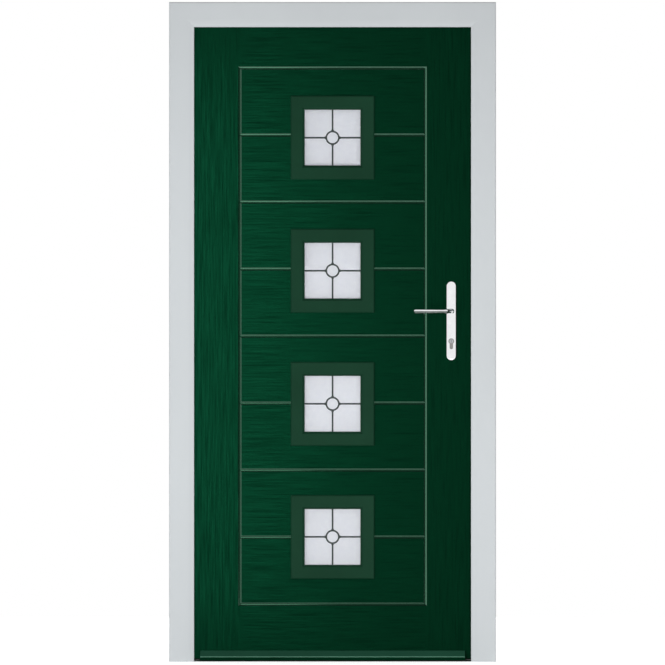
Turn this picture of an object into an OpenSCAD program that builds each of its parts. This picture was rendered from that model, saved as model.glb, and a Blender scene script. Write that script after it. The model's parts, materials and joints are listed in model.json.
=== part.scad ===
// Composite front door with four square lights, hung in a white plastic frame.
// X runs along the width with the hinges at -X, Y runs from outside to inside, Z is up.
// The origin is at the foot of the frame, halfway along its width and its depth.

/* [Frame] */
// Overall width of the frame
frame_w = 1000; // [900:1:1100]
// Overall height of the frame
frame_h = 2018; // [1980:1:2150]
// Depth of the frame section from the outside face to the inside face
frame_d = 70; // [68:1:78]
// Width of the frame face seen from outside
frame_face_w = 76; // [72:1:84]
// How far the door stop stands in past the rebate
stop_w = 16; // [13:1:20]
// Width of the sloping band along the inner edge of the face
face_slope_w = 27; // [22:1:32]
// How far that band falls back at its inner edge
face_slope_drop = 9; // [6:1:11]
// Radius of the long outer edge of the face
face_edge_r = 5; // [2:0.5:6]
// Wall thickness of the hollow frame section
frame_wall = 3; // [2.5:0.1:3.2]
// Depth of the chamber behind the face
front_chamber_d = 12; // [9:0.5:12.5]
// Depth of the chamber along the inside face
rear_chamber_d = 9; // [6:0.5:11]
// Width of the narrow chamber along the wall side
side_chamber_w = 6; // [4:0.5:8]
// Width of the groove in the lock jamb that the bolts and hooks are thrown into
keep_groove_w = 14; // [13:0.5:16]
// Depth of that groove
keep_groove_d = 24; // [23:0.5:28]
// Height of the threshold plate
threshold_h = 3.5; // [2.5:0.1:4]
// How far the threshold stays behind the outside face
threshold_setback = 6; // [3:0.5:12]
// Width of the frame seal
seal_w = 7; // [5:0.5:9]

/* [Slab] */
// Thickness of the door slab
slab_t = 44; // [42:0.5:46]
// Gap round the edge of the slab
edge_gap = 5; // [4:0.5:6]
// Gap between the threshold and the slab
bottom_gap = 5.5; // [4:0.5:8]
// Gap between the door stop and the slab that the seal closes
seal_gap = 4; // [3:0.5:5]
// Thickness of the moulded skins
skin_t = 2.5; // [2:0.1:3]
// Width of the hinge stile
hinge_stile_w = 50; // [46:1:70]
// Width of the lock stile
lock_stile_w = 105; // [98:1:125]
// Height of the top rail
top_rail_h = 60; // [40:1:90]
// Height of the bottom rail
bottom_rail_h = 90; // [60:1:130]

/* [Moulding] */
// Width of the moulded grooves
groove_w = 9; // [6:0.5:12]
// Depth of the moulded grooves
groove_d = 3.2; // [2:0.1:4]
// Width of the flat at the foot of a groove
groove_floor_w = 0.8; // [0.4:0.1:1.5]
// From the side of the slab to the groove beside the planks
stile_face_w = 151; // [130:1:165]
// From the top of the slab to the topmost groove
top_face_h = 136; // [100:1:150]
// From the foot of the slab to the lowest groove
bottom_face_h = 166; // [120:1:180]
// Number of planks between the grooves
plank_count = 8; // [4:1:12]

/* [Lights] */
// From the lowest groove up to the middle of the lowest light
light_foot = 206; // [180:1:230]
// From the topmost groove down to the middle of the topmost light
light_head = 213; // [180:1:230]
// Outer width of a cassette
cassette_w = 256; // [236:1:280]
// How far a cassette stands off the skin
cassette_proud = 8; // [6:0.5:12]
// Bevel round the outer edge of a cassette
cassette_bevel = 3; // [1:0.5:5]
// Width of the glass that shows
sight_w = 171; // [150:1:174]
// Bevel round the inner edge of a cassette
sight_bevel = 7; // [3:0.5:7.5]
// Width of the hole through the slab
cutout_w = 200; // [198:1:206]
// Width of the sealed glass unit
glass_w = 184; // [182:0.5:185]
// Thickness of the sealed glass unit
glass_t = 28; // [20:1:30]
// Thickness of one pane
pane_t = 4; // [3:1:6]
// Width of the spacer bar between the panes
spacer_w = 5; // [4:0.5:6]
// Width of the lead strip on the glass
lead_w = 5; // [3:0.5:8]
// Thickness of the lead strip
lead_t = 1.5; // [1:0.1:2.5]
// Outer diameter of the lead ring
ring_d = 43.4; // [30:0.2:60]

/* [Weather bar] */
// From the side of the opening to the end of the bar
bar_end_gap = 19; // [14:1:40]
// Height of the bar
bar_h = 28; // [22:1:40]
// How far the bar stands out from the skin
bar_out = 28; // [20:1:30]
// How far the bar hangs below the slab
bar_drop = 4; // [2:0.5:4.5]
// Height of the upright lip along the front of the bar
bar_lip_h = 9; // [6:0.5:12]
// Wall thickness of the bar
bar_wall = 2.5; // [2:0.1:3]

/* [Handle] */
// Height of the lever above the foot of the frame
lever_z = 1072.5; // [1000:0.5:1120]
// From the lock edge of the slab to the lever
backset = 71.5; // [65:0.5:76]
// Width of a handle plate
plate_w = 29.2; // [26:0.2:36]
// From a handle bolt to the end of a handle plate
plate_end = 13.5; // [11:0.5:20]
// Thickness of a handle plate at its middle
plate_t = 9; // [8:0.5:12]
// Radius of the crowned front of a handle plate
plate_crown_r = 60; // [40:1:120]
// From the middle of the plate up to the lever
plate_lever_rise = 29.5; // [26:0.5:34]
// From the lever to the tip
lever_l = 116; // [100:1:130]
// Diameter of the lever's round neck
neck_d = 17; // [14:0.2:20]
// From the skin to the middle of the lever
lever_out = 48; // [44:1:58]
// Height of the lever where it leaves the neck
lever_root_h = 10.5; // [8:0.5:14]
// Height of the lever at its tip
lever_tip_h = 12.5; // [6:0.5:14]
// Depth of the lever from front to back
lever_depth = 13; // [10:0.5:16]
// Width of the square spindle
spindle_w = 8; // [7:0.5:9]
// From the end of the lock case to a handle bolt
bolt_margin = 7.5; // [6:0.5:9]
// Diameter of a handle bolt
bolt_d = 5; // [4:0.5:6]

/* [Cylinder] */
// From the lever down to the cylinder
cylinder_drop = 92; // [85:0.5:92]
// Diameter of the round part of the cylinder
barrel_d = 17; // [16.5:0.1:17.5]
// Overall height of the cylinder section
cylinder_h = 33; // [32:0.5:34]
// Width of the lower part of the cylinder
tail_w = 10; // [9.5:0.1:10.5]
// How far the cylinder stands out of the plates
cylinder_proud = 2; // [1:0.5:3]
// Diameter of the key plug and the turn shaft
plug_d = 12.4; // [11:0.1:13]
// Radius of the cam's nose
cam_r = 14.5; // [13:0.1:15]
// Thickness of the cam
cam_t = 9.4; // [8:0.1:9.6]
// Diameter of the thumb turn's grip
turn_d = 25; // [20:0.5:29]
// Width of the thumb turn's grip
turn_w = 9; // [6:0.5:12]
// Length of the thumb turn's grip
turn_l = 17; // [12:0.5:22]

/* [Lock] */
// Width of the faceplate
strip_w = 20; // [19:0.5:24]
// Thickness of the faceplate
faceplate_t = 2.5; // [2:0.1:3]
// Width of a keep plate
keep_w = 34; // [33:0.5:38]
// Thickness of a keep plate
keep_t = 1.5; // [1:0.1:1.8]
// From a keep's windows to its ends
keep_end = 30; // [20:1:40]
// From the ends of a keep to its screws
keep_screw_end = 10; // [8:0.5:14]
// From the ends of the slab to the ends of the faceplate
strip_end = 130; // [100:1:150]
// From the ends of the faceplate to its outer screws
strip_screw_end = 25; // [15:1:40]
// From an outer screw of the faceplate to the next one
strip_screw_step = 100; // [60:1:140]
// Width of the drive rail
rail_w = 16; // [15:0.5:17]
// Thickness of the drive rail
rail_t = 2; // [1.5:0.1:2.5]
// Travel of the drive rail
rail_travel = 20; // [12:1:24]
// Thickness of the lock case
case_t = 15; // [14:0.5:17]
// Height of the lock case
case_h = 200; // [190:1:202]
// From the lever to the back of the lock case
case_back = 17; // [16:0.5:20]
// Height of the latch above the lever
latch_rise = 28; // [20:0.5:40]
// Width of the latch
latch_w = 10; // [8:0.5:11]
// Height of the latch
latch_h = 16; // [12:0.5:20]
// Length of the latch
latch_l = 36; // [30:1:40]
// Throw of the latch
latch_throw = 11; // [8:0.5:12]
// From the lever down to the dead bolt
bolt_fall = 50; // [40:0.5:55]
// Width of the dead bolt
dead_bolt_w = 10; // [8:0.5:11]
// Height of the dead bolt
dead_bolt_h = 24; // [18:0.5:30]
// Length of the dead bolt
dead_bolt_l = 46; // [40:1:50]
// From the lever up to the upper hook's pivot
hook_rise = 407.5; // [380:0.5:460]
// From the lever down to the lower hook's pivot
hook_fall = 512.5; // [480:0.5:560]
// From the slab's edge back to a hook's pivot
hook_setback = 21; // [20:0.5:23]
// From a hook's pivot to its end
hook_l = 40; // [38:0.5:42]
// Width of a hook's arm
hook_arm_w = 13; // [11:0.5:14]
// How far a hook's beak stands out from its middle line
hook_beak = 15; // [13:0.5:15]
// Thickness of a hook
hook_t = 8; // [6:0.5:9]
// Diameter of a hook's pivot
hook_pivot_d = 6; // [5:0.2:8]

/* [Hinges] */
// From the ends of the slab to the middle of the outer hinges
hinge_end = 220; // [150:1:280]
// Height of a hinge
hinge_h = 100; // [90:1:120]
// Width of a hinge leaf
leaf_w = 42; // [36:1:45]
// Thickness of a hinge leaf
leaf_t = 3.5; // [3:0.1:4]
// Diameter of a hinge knuckle
knuckle_d = 16; // [14:0.5:17]
// Height of the middle knuckle
middle_knuckle_h = 36; // [28:1:44]
// Diameter of a hinge pin
pin_d = 8; // [7:0.5:9]
// Diameter of the cap on a hinge pin
pin_cap_d = 13; // [11:0.5:14]

/* [Fixings] */
// Diameter of the holes that fix the frame to a wall
fixing_d = 8.5; // [6:0.1:10]
// From the ends of a jamb to its outer fixing holes
fixing_end = 200; // [150:1:260]
// From the middle of the frame's depth to the fixing holes
fixing_y = -3; // [-6:0.5:-2]
// Diameter of a wood screw
screw_d = 4; // [3.5:0.1:4.5]
// Diameter of a wood screw's head
screw_head_d = 8; // [7:0.1:8.5]
// Length of a wood screw
screw_l = 20; // [16:1:24]
// Diameter of a cassette screw
small_screw_d = 3; // [2.5:0.1:3.4]
// Diameter of a cassette screw's head
small_head_d = 6; // [5:0.1:6.4]
// Length of a cassette screw
small_screw_l = 42; // [38:1:44]

/* [Clearances] */
// Radial clearance of a turning pin or shaft
running_fit = 0.05; // [0.02:0.01:0.1]
// Clearance of a sliding piece on each side
sliding_fit = 0.3; // [0.3:0.05:0.5]
// Clearance of a seated piece on each side
seat_fit = 0.2; // [0.1:0.05:0.4]
// Clearance of a screw in its hole
screw_fit = 0.1; // [0.05:0.05:0.3]
// Clearance of a bolt in its window
window_fit = 1.2; // [0.8:0.1:2]
// Clearance between a seal and what it closes against
seal_fit = 0.3; // [0.3:0.05:0.6]

/* [Hidden] */
$fn = 64;
light_count = 4;
hinge_count = 3;

// Colours of the finishes
white_plastic = [0.83, 0.85, 0.86];
green_skin = [0.06, 0.22, 0.15];
dark_rubber = [0.08, 0.08, 0.08];
pale_timber = [0.76, 0.62, 0.43];
cream_foam = [0.9, 0.86, 0.68];
mill_aluminium = [0.72, 0.73, 0.74];
bright_chrome = [0.86, 0.87, 0.88];
zinc_steel = [0.62, 0.63, 0.65];
lead_grey = [0.25, 0.28, 0.27];
frosted_glass = [0.86, 0.87, 0.92];

// A cut runs this far past the face that it starts from
over = 1;

// Planes across the depth
out_y = -frame_d / 2;
in_y = frame_d / 2;
slab_out_y = in_y - slab_t;
slab_mid_y = in_y - slab_t / 2;
stop_y = slab_out_y - seal_gap;
stop_d = stop_y - out_y;

// Lines across the width, given for the +X side
side_x = frame_w / 2;
sight_x = side_x - frame_face_w;
rebate_x = sight_x + stop_w;
slab_x = rebate_x - edge_gap;
box_w = frame_face_w - stop_w;

// Heights
sight_z = frame_h - frame_face_w;
rebate_z = sight_z + stop_w;
slab_top_z = rebate_z - edge_gap;
slab_foot_z = threshold_h + bottom_gap;

// Chambers of the frame section, measured from its outer front corner
slope_start = frame_face_w - face_slope_w;
slope_wall = frame_wall * sqrt(1 + pow(face_slope_drop / face_slope_w, 2));
front_end = frame_wall + front_chamber_d;
main_start = front_end + frame_wall;
rear_start = frame_d - frame_wall - rear_chamber_d;
main_end = rear_start - frame_wall;
nose_end = frame_face_w - frame_wall;
nose_front = slope_wall + (nose_end - slope_start) * face_slope_drop / face_slope_w;

// Tubes of the lock jamb, bonded to each other round the groove behind the keeps
groove_start = slab_mid_y - out_y - keep_groove_w / 2;
groove_end = groove_start + keep_groove_w;
tube_bond = 0.05;

// Core of the slab
core_x0 = hinge_stile_w - slab_x;
core_x1 = slab_x - lock_stile_w;
core_z0 = slab_foot_z + bottom_rail_h;
core_z1 = slab_top_z - top_rail_h;
core_y0 = slab_out_y + skin_t;
core_y1 = in_y - skin_t;

// Moulding
moulding_x = slab_x - stile_face_w;
moulding_z0 = slab_foot_z + bottom_face_h;
moulding_z1 = slab_top_z - top_face_h;
plank_h = (moulding_z1 - moulding_z0) / plank_count;
light_pitch = (moulding_z1 - moulding_z0 - light_foot - light_head) / (light_count - 1);
groove_flare = (groove_w - groove_floor_w) / 2 / groove_d;

// Lights
glass_out_y = slab_mid_y - glass_t / 2;
cassette_out_y = slab_out_y - cassette_proud;
skirt_w = cutout_w - 2 * seat_fit;
pocket_w = glass_w + 2 * seat_fit;
cassette_screw_r = (skirt_w + pocket_w) / 4;
spacer_out_w = glass_w - 1;
pane_bond = 0.05;

// Hinges
hinge_x = -(slab_x + rebate_x) / 2;
hinge_y = in_y + knuckle_d / 2 + 1;
leaf_gap = 0.5;
leaf_x = knuckle_d / 2 + leaf_gap;
leaf_screw_pitch = hinge_h / 3;
knuckle_gap = 0.4;
pin_cap_t = 2.5;

// Handle and cylinder
lever_x = slab_x - backset;
bolt_pitch = case_h + 2 * bolt_margin;
plate_h = bolt_pitch + 2 * plate_end;
plate_z = lever_z - plate_lever_rise;
cylinder_z = lever_z - cylinder_drop;
spindle_bore_r = spindle_w * 0.71 + window_fit / 2;
neck_start = 0.4;
socket_end = lever_out - 8;
bolt_seat = plate_t - 2.5;
bolt_head_d = 2 * bolt_d;
bolt_l = slab_t + plate_t + bolt_seat - 0.5;
cylinder_y0 = slab_out_y - plate_t - cylinder_proud;
cylinder_y1 = in_y + plate_t + cylinder_proud;
cam_gap = cam_t + 2 * sliding_fit;
cam_y0 = slab_mid_y - cam_gap / 2;
cam_y1 = slab_mid_y + cam_gap / 2;

// Lock
faceplate_x = slab_x - faceplate_t;
rail_x = faceplate_x - sliding_fit - rail_t;
case_front_x = rail_x - sliding_fit;
case_back_x = lever_x - case_back;
case_z = plate_z - 2;
strip_z0 = slab_foot_z + strip_end;
strip_z1 = slab_top_z - strip_end;
keep_x = rebate_x - keep_t;
keep_screw_y = keep_groove_w / 2 + frame_wall + screw_d / 2 + seat_fit + screw_fit;
latch_z = lever_z + latch_rise;
dead_bolt_z = lever_z - bolt_fall;
upper_hook_z = lever_z + hook_rise;
lower_hook_z = lever_z - hook_fall;
hook_x = slab_x - hook_setback;
hook_sweep = norm([hook_l, hook_beak]);
hook_window_top = sqrt(pow(hook_sweep, 2) - pow(faceplate_x - hook_x, 2)) + window_fit;
hook_window_foot = hook_arm_w / 2 + window_fit;
hook_boss_r = hook_pivot_d / 2 + 5;
hook_box_wall = 4;
hook_box_foot = hook_boss_r + hook_box_wall;
hook_box_top = hook_sweep + hook_box_wall;
rail_z0 = lower_hook_z - hook_window_foot - rail_travel - 12;
rail_z1 = upper_hook_z + hook_window_top + 12;

function light_z(i) = moulding_z0 + light_foot + i * light_pitch;
function hinge_z(i) = slab_foot_z + hinge_end
  + i * (slab_top_z - slab_foot_z - 2 * hinge_end) / (hinge_count - 1);
function fixing_z(i) = fixing_end + i * (frame_h - 2 * fixing_end) / 3;
function hook_keep(z) = [z - hook_window_foot - keep_end, z + hook_window_top + keep_end];
keep_spans = [
  hook_keep(lower_hook_z),
  [dead_bolt_z - dead_bolt_h / 2 - keep_end, latch_z + latch_h / 2 + keep_end],
  hook_keep(upper_hook_z)
];

// A box between two corners
module box(low, high) {
  translate(low) cube(high - low);
}

// An outline of Y and Z drawn along X
module along_x(x0, x1) {
  translate([x0, 0, 0]) rotate([90, 0, 90]) linear_extrude(x1 - x0) children();
}

// An outline of X and Z drawn along Y
module along_y(y0, y1) {
  translate([0, y1, 0]) rotate([90, 0, 0]) linear_extrude(y1 - y0) children();
}

// A round rod along Y
module rod_y(r, y0, y1) {
  translate([0, y0, 0]) rotate([-90, 0, 0]) cylinder(r = r, h = y1 - y0);
}

// The section of a block whose two sides follow the same steps of [outward, y]
function block_section(half, steps) = concat(
  [for (s = steps) [half + s[0], s[1]]],
  [for (i = [len(steps) - 1 : -1 : 0]) [-half - steps[i][0], steps[i][1]]]
);

// A rectangular block with the same edge all round, centred on the Y axis
module edged_block(half_w, half_h, steps) {
  reach = 2 * max(half_w, half_h);
  intersection() {
    translate([0, 0, -reach]) linear_extrude(2 * reach) polygon(block_section(half_w, steps));
    rotate([0, -90, 0]) translate([0, 0, -reach])
      linear_extrude(2 * reach) polygon(block_section(half_h, steps));
  }
}

// Children on the outside of the slab, repeated on its inside
module on_inside() {
  translate([0, 2 * slab_mid_y, 0]) mirror([0, 1, 0]) children();
}

// A countersunk screw that points down from its flat head, or its hole when fit is given
module screw(d, head_d, length, fit = 0) {
  head_h = (head_d - d) / 2;
  translate([0, 0, -length - fit]) cylinder(d = d + 2 * fit, h = length + fit);
  translate([0, 0, -head_h - fit]) cylinder(d1 = d, d2 = head_d + 2 * fit, h = head_h + fit);
  if (fit > 0) cylinder(d = head_d + 2 * fit, h = over);
}

// Screws through the hinge leaves of one side, which is -1 for the frame and 1 for the door
module leaf_screws(side, fit = 0) {
  for (i = [0 : hinge_count - 1], k = [-1 : 1])
    translate([
      hinge_x + side * (leaf_x + leaf_w / 2), in_y + leaf_t, hinge_z(i) + k * leaf_screw_pitch
    ]) rotate([-90, 0, 0]) screw(screw_d, screw_head_d, screw_l, fit);
}

// Screws through the keeps, one on each side of the groove at both ends
module keep_screws(fit = 0) {
  for (span = keep_spans, z = [span[0] + keep_screw_end, span[1] - keep_screw_end], side = [-1, 1])
    translate([keep_x, slab_mid_y + side * keep_screw_y, z]) rotate([0, -90, 0])
      screw(screw_d, screw_head_d - 2 * (screw_d - 2 * keep_t), screw_l, fit);
}

// Screws through the faceplate
module faceplate_screws(fit = 0) {
  for (k = [0, 1], end = [-1, 1]) {
    reach = (strip_z1 - strip_z0) / 2 - strip_screw_end - k * strip_screw_step;
    translate([slab_x, slab_mid_y, (strip_z0 + strip_z1) / 2 + end * reach]) rotate([0, 90, 0])
      screw(screw_d, screw_head_d, screw_l, fit);
  }
}

// Screws that draw the two cassettes of a light together
module light_screws(fit = 0) {
  for (turn = [0 : 90 : 270])
    rotate([0, turn, 0])
      translate([cassette_screw_r, in_y + cassette_proud, 0]) rotate([-90, 0, 0])
        screw(small_screw_d, small_head_d, small_screw_l, fit);
}

// Bolts that draw the two handle plates together
module plate_bolts(fit = 0) {
  for (k = [-1, 1])
    translate([lever_x, in_y + plate_t, plate_z + k * bolt_pitch / 2]) rotate([-90, 0, 0])
      screw(bolt_d, bolt_head_d, bolt_l, fit);
}

// The face of the frame section back to a depth, with its rounded outer edge
module face_outline(depth) {
  difference() {
    polygon([
      [0, 0], [slope_start, 0], [frame_face_w, face_slope_drop], [frame_face_w, depth], [0, depth]
    ]);
    difference() {
      translate([-over, -over]) square(face_edge_r + over);
      translate([face_edge_r, face_edge_r]) circle(face_edge_r);
    }
  }
}

// The chamber behind the flat of the face
module front_chamber(depth) {
  translate([frame_wall, frame_wall]) difference() {
    square([slope_start - 2 * frame_wall, depth]);
    square(face_edge_r - frame_wall / 2);
  }
}

// Hollow section of the frame, with its outer front corner at the origin
module frame_section() {
  difference() {
    union() {
      face_outline(stop_d);
      translate([0, stop_d / 2]) square([box_w, frame_d - stop_d / 2]);
    }
    front_chamber(front_chamber_d);
    polygon([
      [slope_start, slope_wall], [nose_end, nose_front],
      [nose_end, stop_d - frame_wall], [box_w, stop_d - frame_wall],
      [box_w, front_end], [slope_start, front_end]
    ]);
    translate([frame_wall, main_start]) square([side_chamber_w, main_end - main_start]);
    main_u = 2 * frame_wall + side_chamber_w;
    translate([main_u, main_start]) square([box_w - frame_wall - main_u, main_end - main_start]);
    translate([frame_wall, rear_start]) square([box_w - 2 * frame_wall, rear_chamber_d]);
  }
}

// A tube of the lock jamb's section between two corners
module tube_section(low, high) {
  difference() {
    translate(low) square(high - low);
    offset(delta = -frame_wall) translate(low) square(high - low);
  }
}

// Section of the lock jamb: a face tube and three box tubes round the groove behind the keeps
module lock_section() {
  face_back = stop_d - tube_bond;
  difference() {
    face_outline(face_back);
    front_chamber(face_back - 2 * frame_wall);
    polygon([
      [slope_start, slope_wall], [nose_end, nose_front],
      [nose_end, face_back - frame_wall], [slope_start, face_back - frame_wall]
    ]);
  }
  tube_section([0, stop_d], [box_w, groove_start - tube_bond]);
  tube_section([0, groove_start], [box_w - keep_groove_d, groove_end - tube_bond]);
  tube_section([0, groove_end], [box_w, frame_d]);
}

// One side of a 45 degree mitre at the hinge corner: above it when up is 1, below it when -1
module mitre_side(up) {
  near = -side_x - over;
  far = -side_x + frame_face_w + over;
  top = frame_h + over;
  foot = sight_z - over;
  along_y(out_y - over, in_y + over)
    polygon([[near, top], [far, foot], up > 0 ? [far, top] : [near, foot]]);
}

// A jamb on the hinge side from its section, with the holes that fix it to a wall
module jamb() {
  difference() {
    translate([-side_x, out_y, 0]) linear_extrude(frame_h) children();
    mitre_side(1);
    for (i = [0 : 3])
      translate([-side_x - over, fixing_y, fixing_z(i)]) rotate([0, 90, 0])
        cylinder(d = fixing_d, h = box_w + 2 * over);
  }
}

module hinge_jamb() {
  color(white_plastic) difference() {
    jamb() frame_section();
    leaf_screws(-1, screw_fit);
  }
}

// A window for a bolt, between two planes of X
module bolt_window(x0, x1, z, w, h, fit, rise = 0) {
  box([x0, slab_mid_y - w / 2 - fit, z - h / 2 - fit - rise],
      [x1, slab_mid_y + w / 2 + fit, z + h / 2 + fit]);
}

// A window for a hook, between two planes of X
module hook_window(x0, x1, z, fit, rise = 0) {
  box([x0, slab_mid_y - hook_t / 2 - fit, z - hook_window_foot - rise],
      [x1, slab_mid_y + hook_t / 2 + fit, z + hook_window_top]);
}

// The windows that all the bolts and hooks pass through
module lock_windows(x0, x1, fit, rise = 0) {
  bolt_window(x0, x1, latch_z, latch_w, latch_h, fit, rise);
  bolt_window(x0, x1, dead_bolt_z, dead_bolt_w, dead_bolt_h, fit, rise);
  hook_window(x0, x1, upper_hook_z, fit, rise);
  hook_window(x0, x1, lower_hook_z, fit, rise);
}

module lock_jamb() {
  color(white_plastic) difference() {
    mirror([1, 0, 0]) jamb() lock_section();
    keep_screws(screw_fit);
  }
}

module frame_head() {
  color(white_plastic) difference() {
    along_x(-side_x, side_x) translate([out_y, frame_h]) rotate(-90) frame_section();
    mitre_side(-1);
    mirror([1, 0, 0]) mitre_side(-1);
  }
}

module threshold() {
  front_y = out_y + threshold_setback;
  ramp_w = 2 * threshold_h;
  color(mill_aluminium) {
    along_x(-rebate_x, rebate_x) difference() {
      translate([stop_y, 0]) square([in_y - stop_y, threshold_h]);
      for (k = [1 : 3])
        translate([in_y - k * seal_w * 1.2, threshold_h]) circle(d = 2);
    }
    along_x(-sight_x, sight_x)
      polygon([[front_y, 0], [stop_y, 0], [stop_y, threshold_h], [front_y + ramp_w, threshold_h],
        [front_y, threshold_h / 3]]);
  }
}

module frame_seal() {
  outer_x = rebate_x - edge_gap / 2;
  outer_z = rebate_z - edge_gap / 2;
  color(dark_rubber) along_y(stop_y, slab_out_y - seal_fit) difference() {
    translate([-outer_x, threshold_h]) square([2 * outer_x, outer_z - threshold_h]);
    translate([-outer_x + seal_w, threshold_h - over])
      square([2 * (outer_x - seal_w), outer_z - threshold_h - seal_w + over]);
  }
}

// A keep plate over the groove of the lock jamb
module keep_plate(i) {
  half = keep_w / 2;
  color(zinc_steel) difference() {
    box([keep_x, slab_mid_y - half, keep_spans[i][0]], [rebate_x, slab_mid_y + half, keep_spans[i][1]]);
    lock_windows(keep_x - over, rebate_x + over, window_fit);
    keep_screws(screw_fit);
  }
}

// A leaf of one hinge, centred on its pin, with knuckles between the given heights
module hinge_leaf(side, knuckles) {
  leaf_y = in_y - hinge_y;
  difference() {
    union() {
      for (k = knuckles) {
        translate([0, 0, k[0]]) cylinder(d = knuckle_d, h = k[1] - k[0]);
        translate([side > 0 ? 0 : -leaf_x - over, leaf_y, k[0]])
          cube([leaf_x + over, leaf_t, k[1] - k[0]]);
      }
      translate([side > 0 ? leaf_x : -leaf_x - leaf_w, leaf_y, -hinge_h / 2])
        cube([leaf_w, leaf_t, hinge_h]);
    }
    translate([0, 0, -hinge_h]) cylinder(d = pin_d + 2 * running_fit, h = 2 * hinge_h);
  }
}

module hinge_frame_leaf(i) {
  inner = middle_knuckle_h / 2;
  color(zinc_steel) difference() {
    translate([hinge_x, hinge_y, hinge_z(i)])
      hinge_leaf(-1, [[-hinge_h / 2, -inner], [inner, hinge_h / 2]]);
    leaf_screws(-1, screw_fit);
  }
}

module hinge_door_leaf(i) {
  inner = middle_knuckle_h / 2 - knuckle_gap;
  color(zinc_steel) difference() {
    translate([hinge_x, hinge_y, hinge_z(i)]) hinge_leaf(1, [[-inner, inner]]);
    leaf_screws(1, screw_fit);
  }
}

module hinge_pins() {
  color(bright_chrome) for (i = [0 : hinge_count - 1])
    translate([hinge_x, hinge_y, hinge_z(i)]) {
      translate([0, 0, -hinge_h / 2]) cylinder(d = pin_d, h = hinge_h);
      translate([0, 0, hinge_h / 2]) cylinder(d1 = pin_cap_d, d2 = pin_cap_d - pin_cap_t, h = pin_cap_t);
    }
}

module frame_screws() {
  color(bright_chrome) {
    leaf_screws(-1);
    keep_screws();
  }
}

// The grooves of one skin, cut inwards from the outside face
module grooves() {
  foot = slab_out_y + groove_d;
  flare = groove_w / 2 + groove_flare * over;
  half_h = (moulding_z1 - moulding_z0) / 2;
  translate([0, 0, moulding_z0 + half_h]) difference() {
    edged_block(moulding_x, half_h, [[groove_floor_w / 2, foot], [flare, slab_out_y - over]]);
    edged_block(moulding_x, half_h, [
      [-groove_floor_w / 2, foot + over], [-groove_floor_w / 2, foot], [-flare, slab_out_y - over]
    ]);
  }
  for (i = [1 : plank_count - 1]) {
    z = moulding_z0 + i * plank_h;
    along_x(-moulding_x, moulding_x)
      polygon([[foot, z - groove_floor_w / 2], [slab_out_y - over, z - flare],
        [slab_out_y - over, z + flare], [foot, z + groove_floor_w / 2]]);
  }
}

// The holes through the slab for the four lights
module light_cutouts() {
  for (i = [0 : light_count - 1])
    translate([0, 0, light_z(i)])
      box([-cutout_w / 2, slab_out_y - over, -cutout_w / 2], [cutout_w / 2, in_y + over, cutout_w / 2]);
}

// Outline of the lock cylinder, a round barrel over a narrow tail, grown by fit
module cylinder_outline(fit = 0) {
  tail_r = tail_w / 2 + fit;
  tail_z = barrel_d / 2 + tail_w / 2 - cylinder_h;
  circle(d = barrel_d + 2 * fit);
  translate([-tail_r, tail_z]) square([2 * tail_r, -tail_z]);
  translate([0, tail_z]) circle(tail_r);
}

// The holes through the slab for the spindle, the cylinder and the handle bolts
module handle_holes() {
  translate([lever_x, 0, lever_z]) rod_y(spindle_bore_r, slab_out_y - over, in_y + over);
  translate([lever_x, 0, cylinder_z])
    along_y(slab_out_y - over, in_y + over) cylinder_outline(seat_fit);
  plate_bolts(screw_fit);
}

// A moulded skin on the outside of the slab: the grooves stand through its back
module moulded_skin() {
  difference() {
    union() {
      box([-slab_x, slab_out_y, slab_foot_z], [slab_x, core_y0, slab_top_z]);
      translate([0, skin_t, 0]) grooves();
    }
    grooves();
    light_cutouts();
    handle_holes();
  }
}

module outer_skin() {
  color(green_skin) moulded_skin();
}

module inner_skin() {
  color(green_skin) difference() {
    on_inside() moulded_skin();
    handle_holes();
    leaf_screws(1, screw_fit);
  }
}

module foam_core() {
  color(cream_foam) difference() {
    box([core_x0, core_y0, core_z0], [core_x1, core_y1, core_z1]);
    translate([0, skin_t, 0]) grooves();
    on_inside() translate([0, skin_t, 0]) grooves();
    light_cutouts();
  }
}

module hinge_stile() {
  color(pale_timber) difference() {
    box([-slab_x, core_y0, slab_foot_z], [core_x0, core_y1, slab_top_z]);
    leaf_screws(1, screw_fit);
  }
}

// Room in the lock stile for one hook box
module hook_box_room(z) {
  w = case_t + 2 * seat_fit;
  box([hook_x - hook_box_foot - seat_fit, slab_mid_y - w / 2, z - hook_box_foot - seat_fit],
      [case_front_x, slab_mid_y + w / 2, z + hook_box_top + seat_fit]);
}

module lock_stile() {
  case_w = case_t + 2 * seat_fit;
  groove_half = rail_w / 2 + sliding_fit;
  plate_half = strip_w / 2 + seat_fit;
  color(pale_timber) difference() {
    box([core_x1, core_y0, slab_foot_z], [slab_x, core_y1, slab_top_z]);
    box([faceplate_x, slab_mid_y - plate_half, strip_z0 - seat_fit],
        [slab_x + over, slab_mid_y + plate_half, strip_z1 + seat_fit]);
    box([case_front_x, slab_mid_y - groove_half, rail_z0 - window_fit],
        [faceplate_x + over, slab_mid_y + groove_half, rail_z1 + rail_travel + window_fit]);
    box([case_back_x - seat_fit, slab_mid_y - case_w / 2, case_z - case_h / 2 - seat_fit],
        [case_front_x + over, slab_mid_y + case_w / 2, case_z + case_h / 2 + seat_fit]);
    hook_box_room(upper_hook_z);
    hook_box_room(lower_hook_z);
    handle_holes();
    faceplate_screws(screw_fit);
  }
}

module top_rail() {
  color(pale_timber) box([core_x0, core_y0, core_z1], [core_x1, core_y1, slab_top_z]);
}

module bottom_rail() {
  color(pale_timber) box([core_x0, core_y0, slab_foot_z], [core_x1, core_y1, core_z0]);
}

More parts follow.
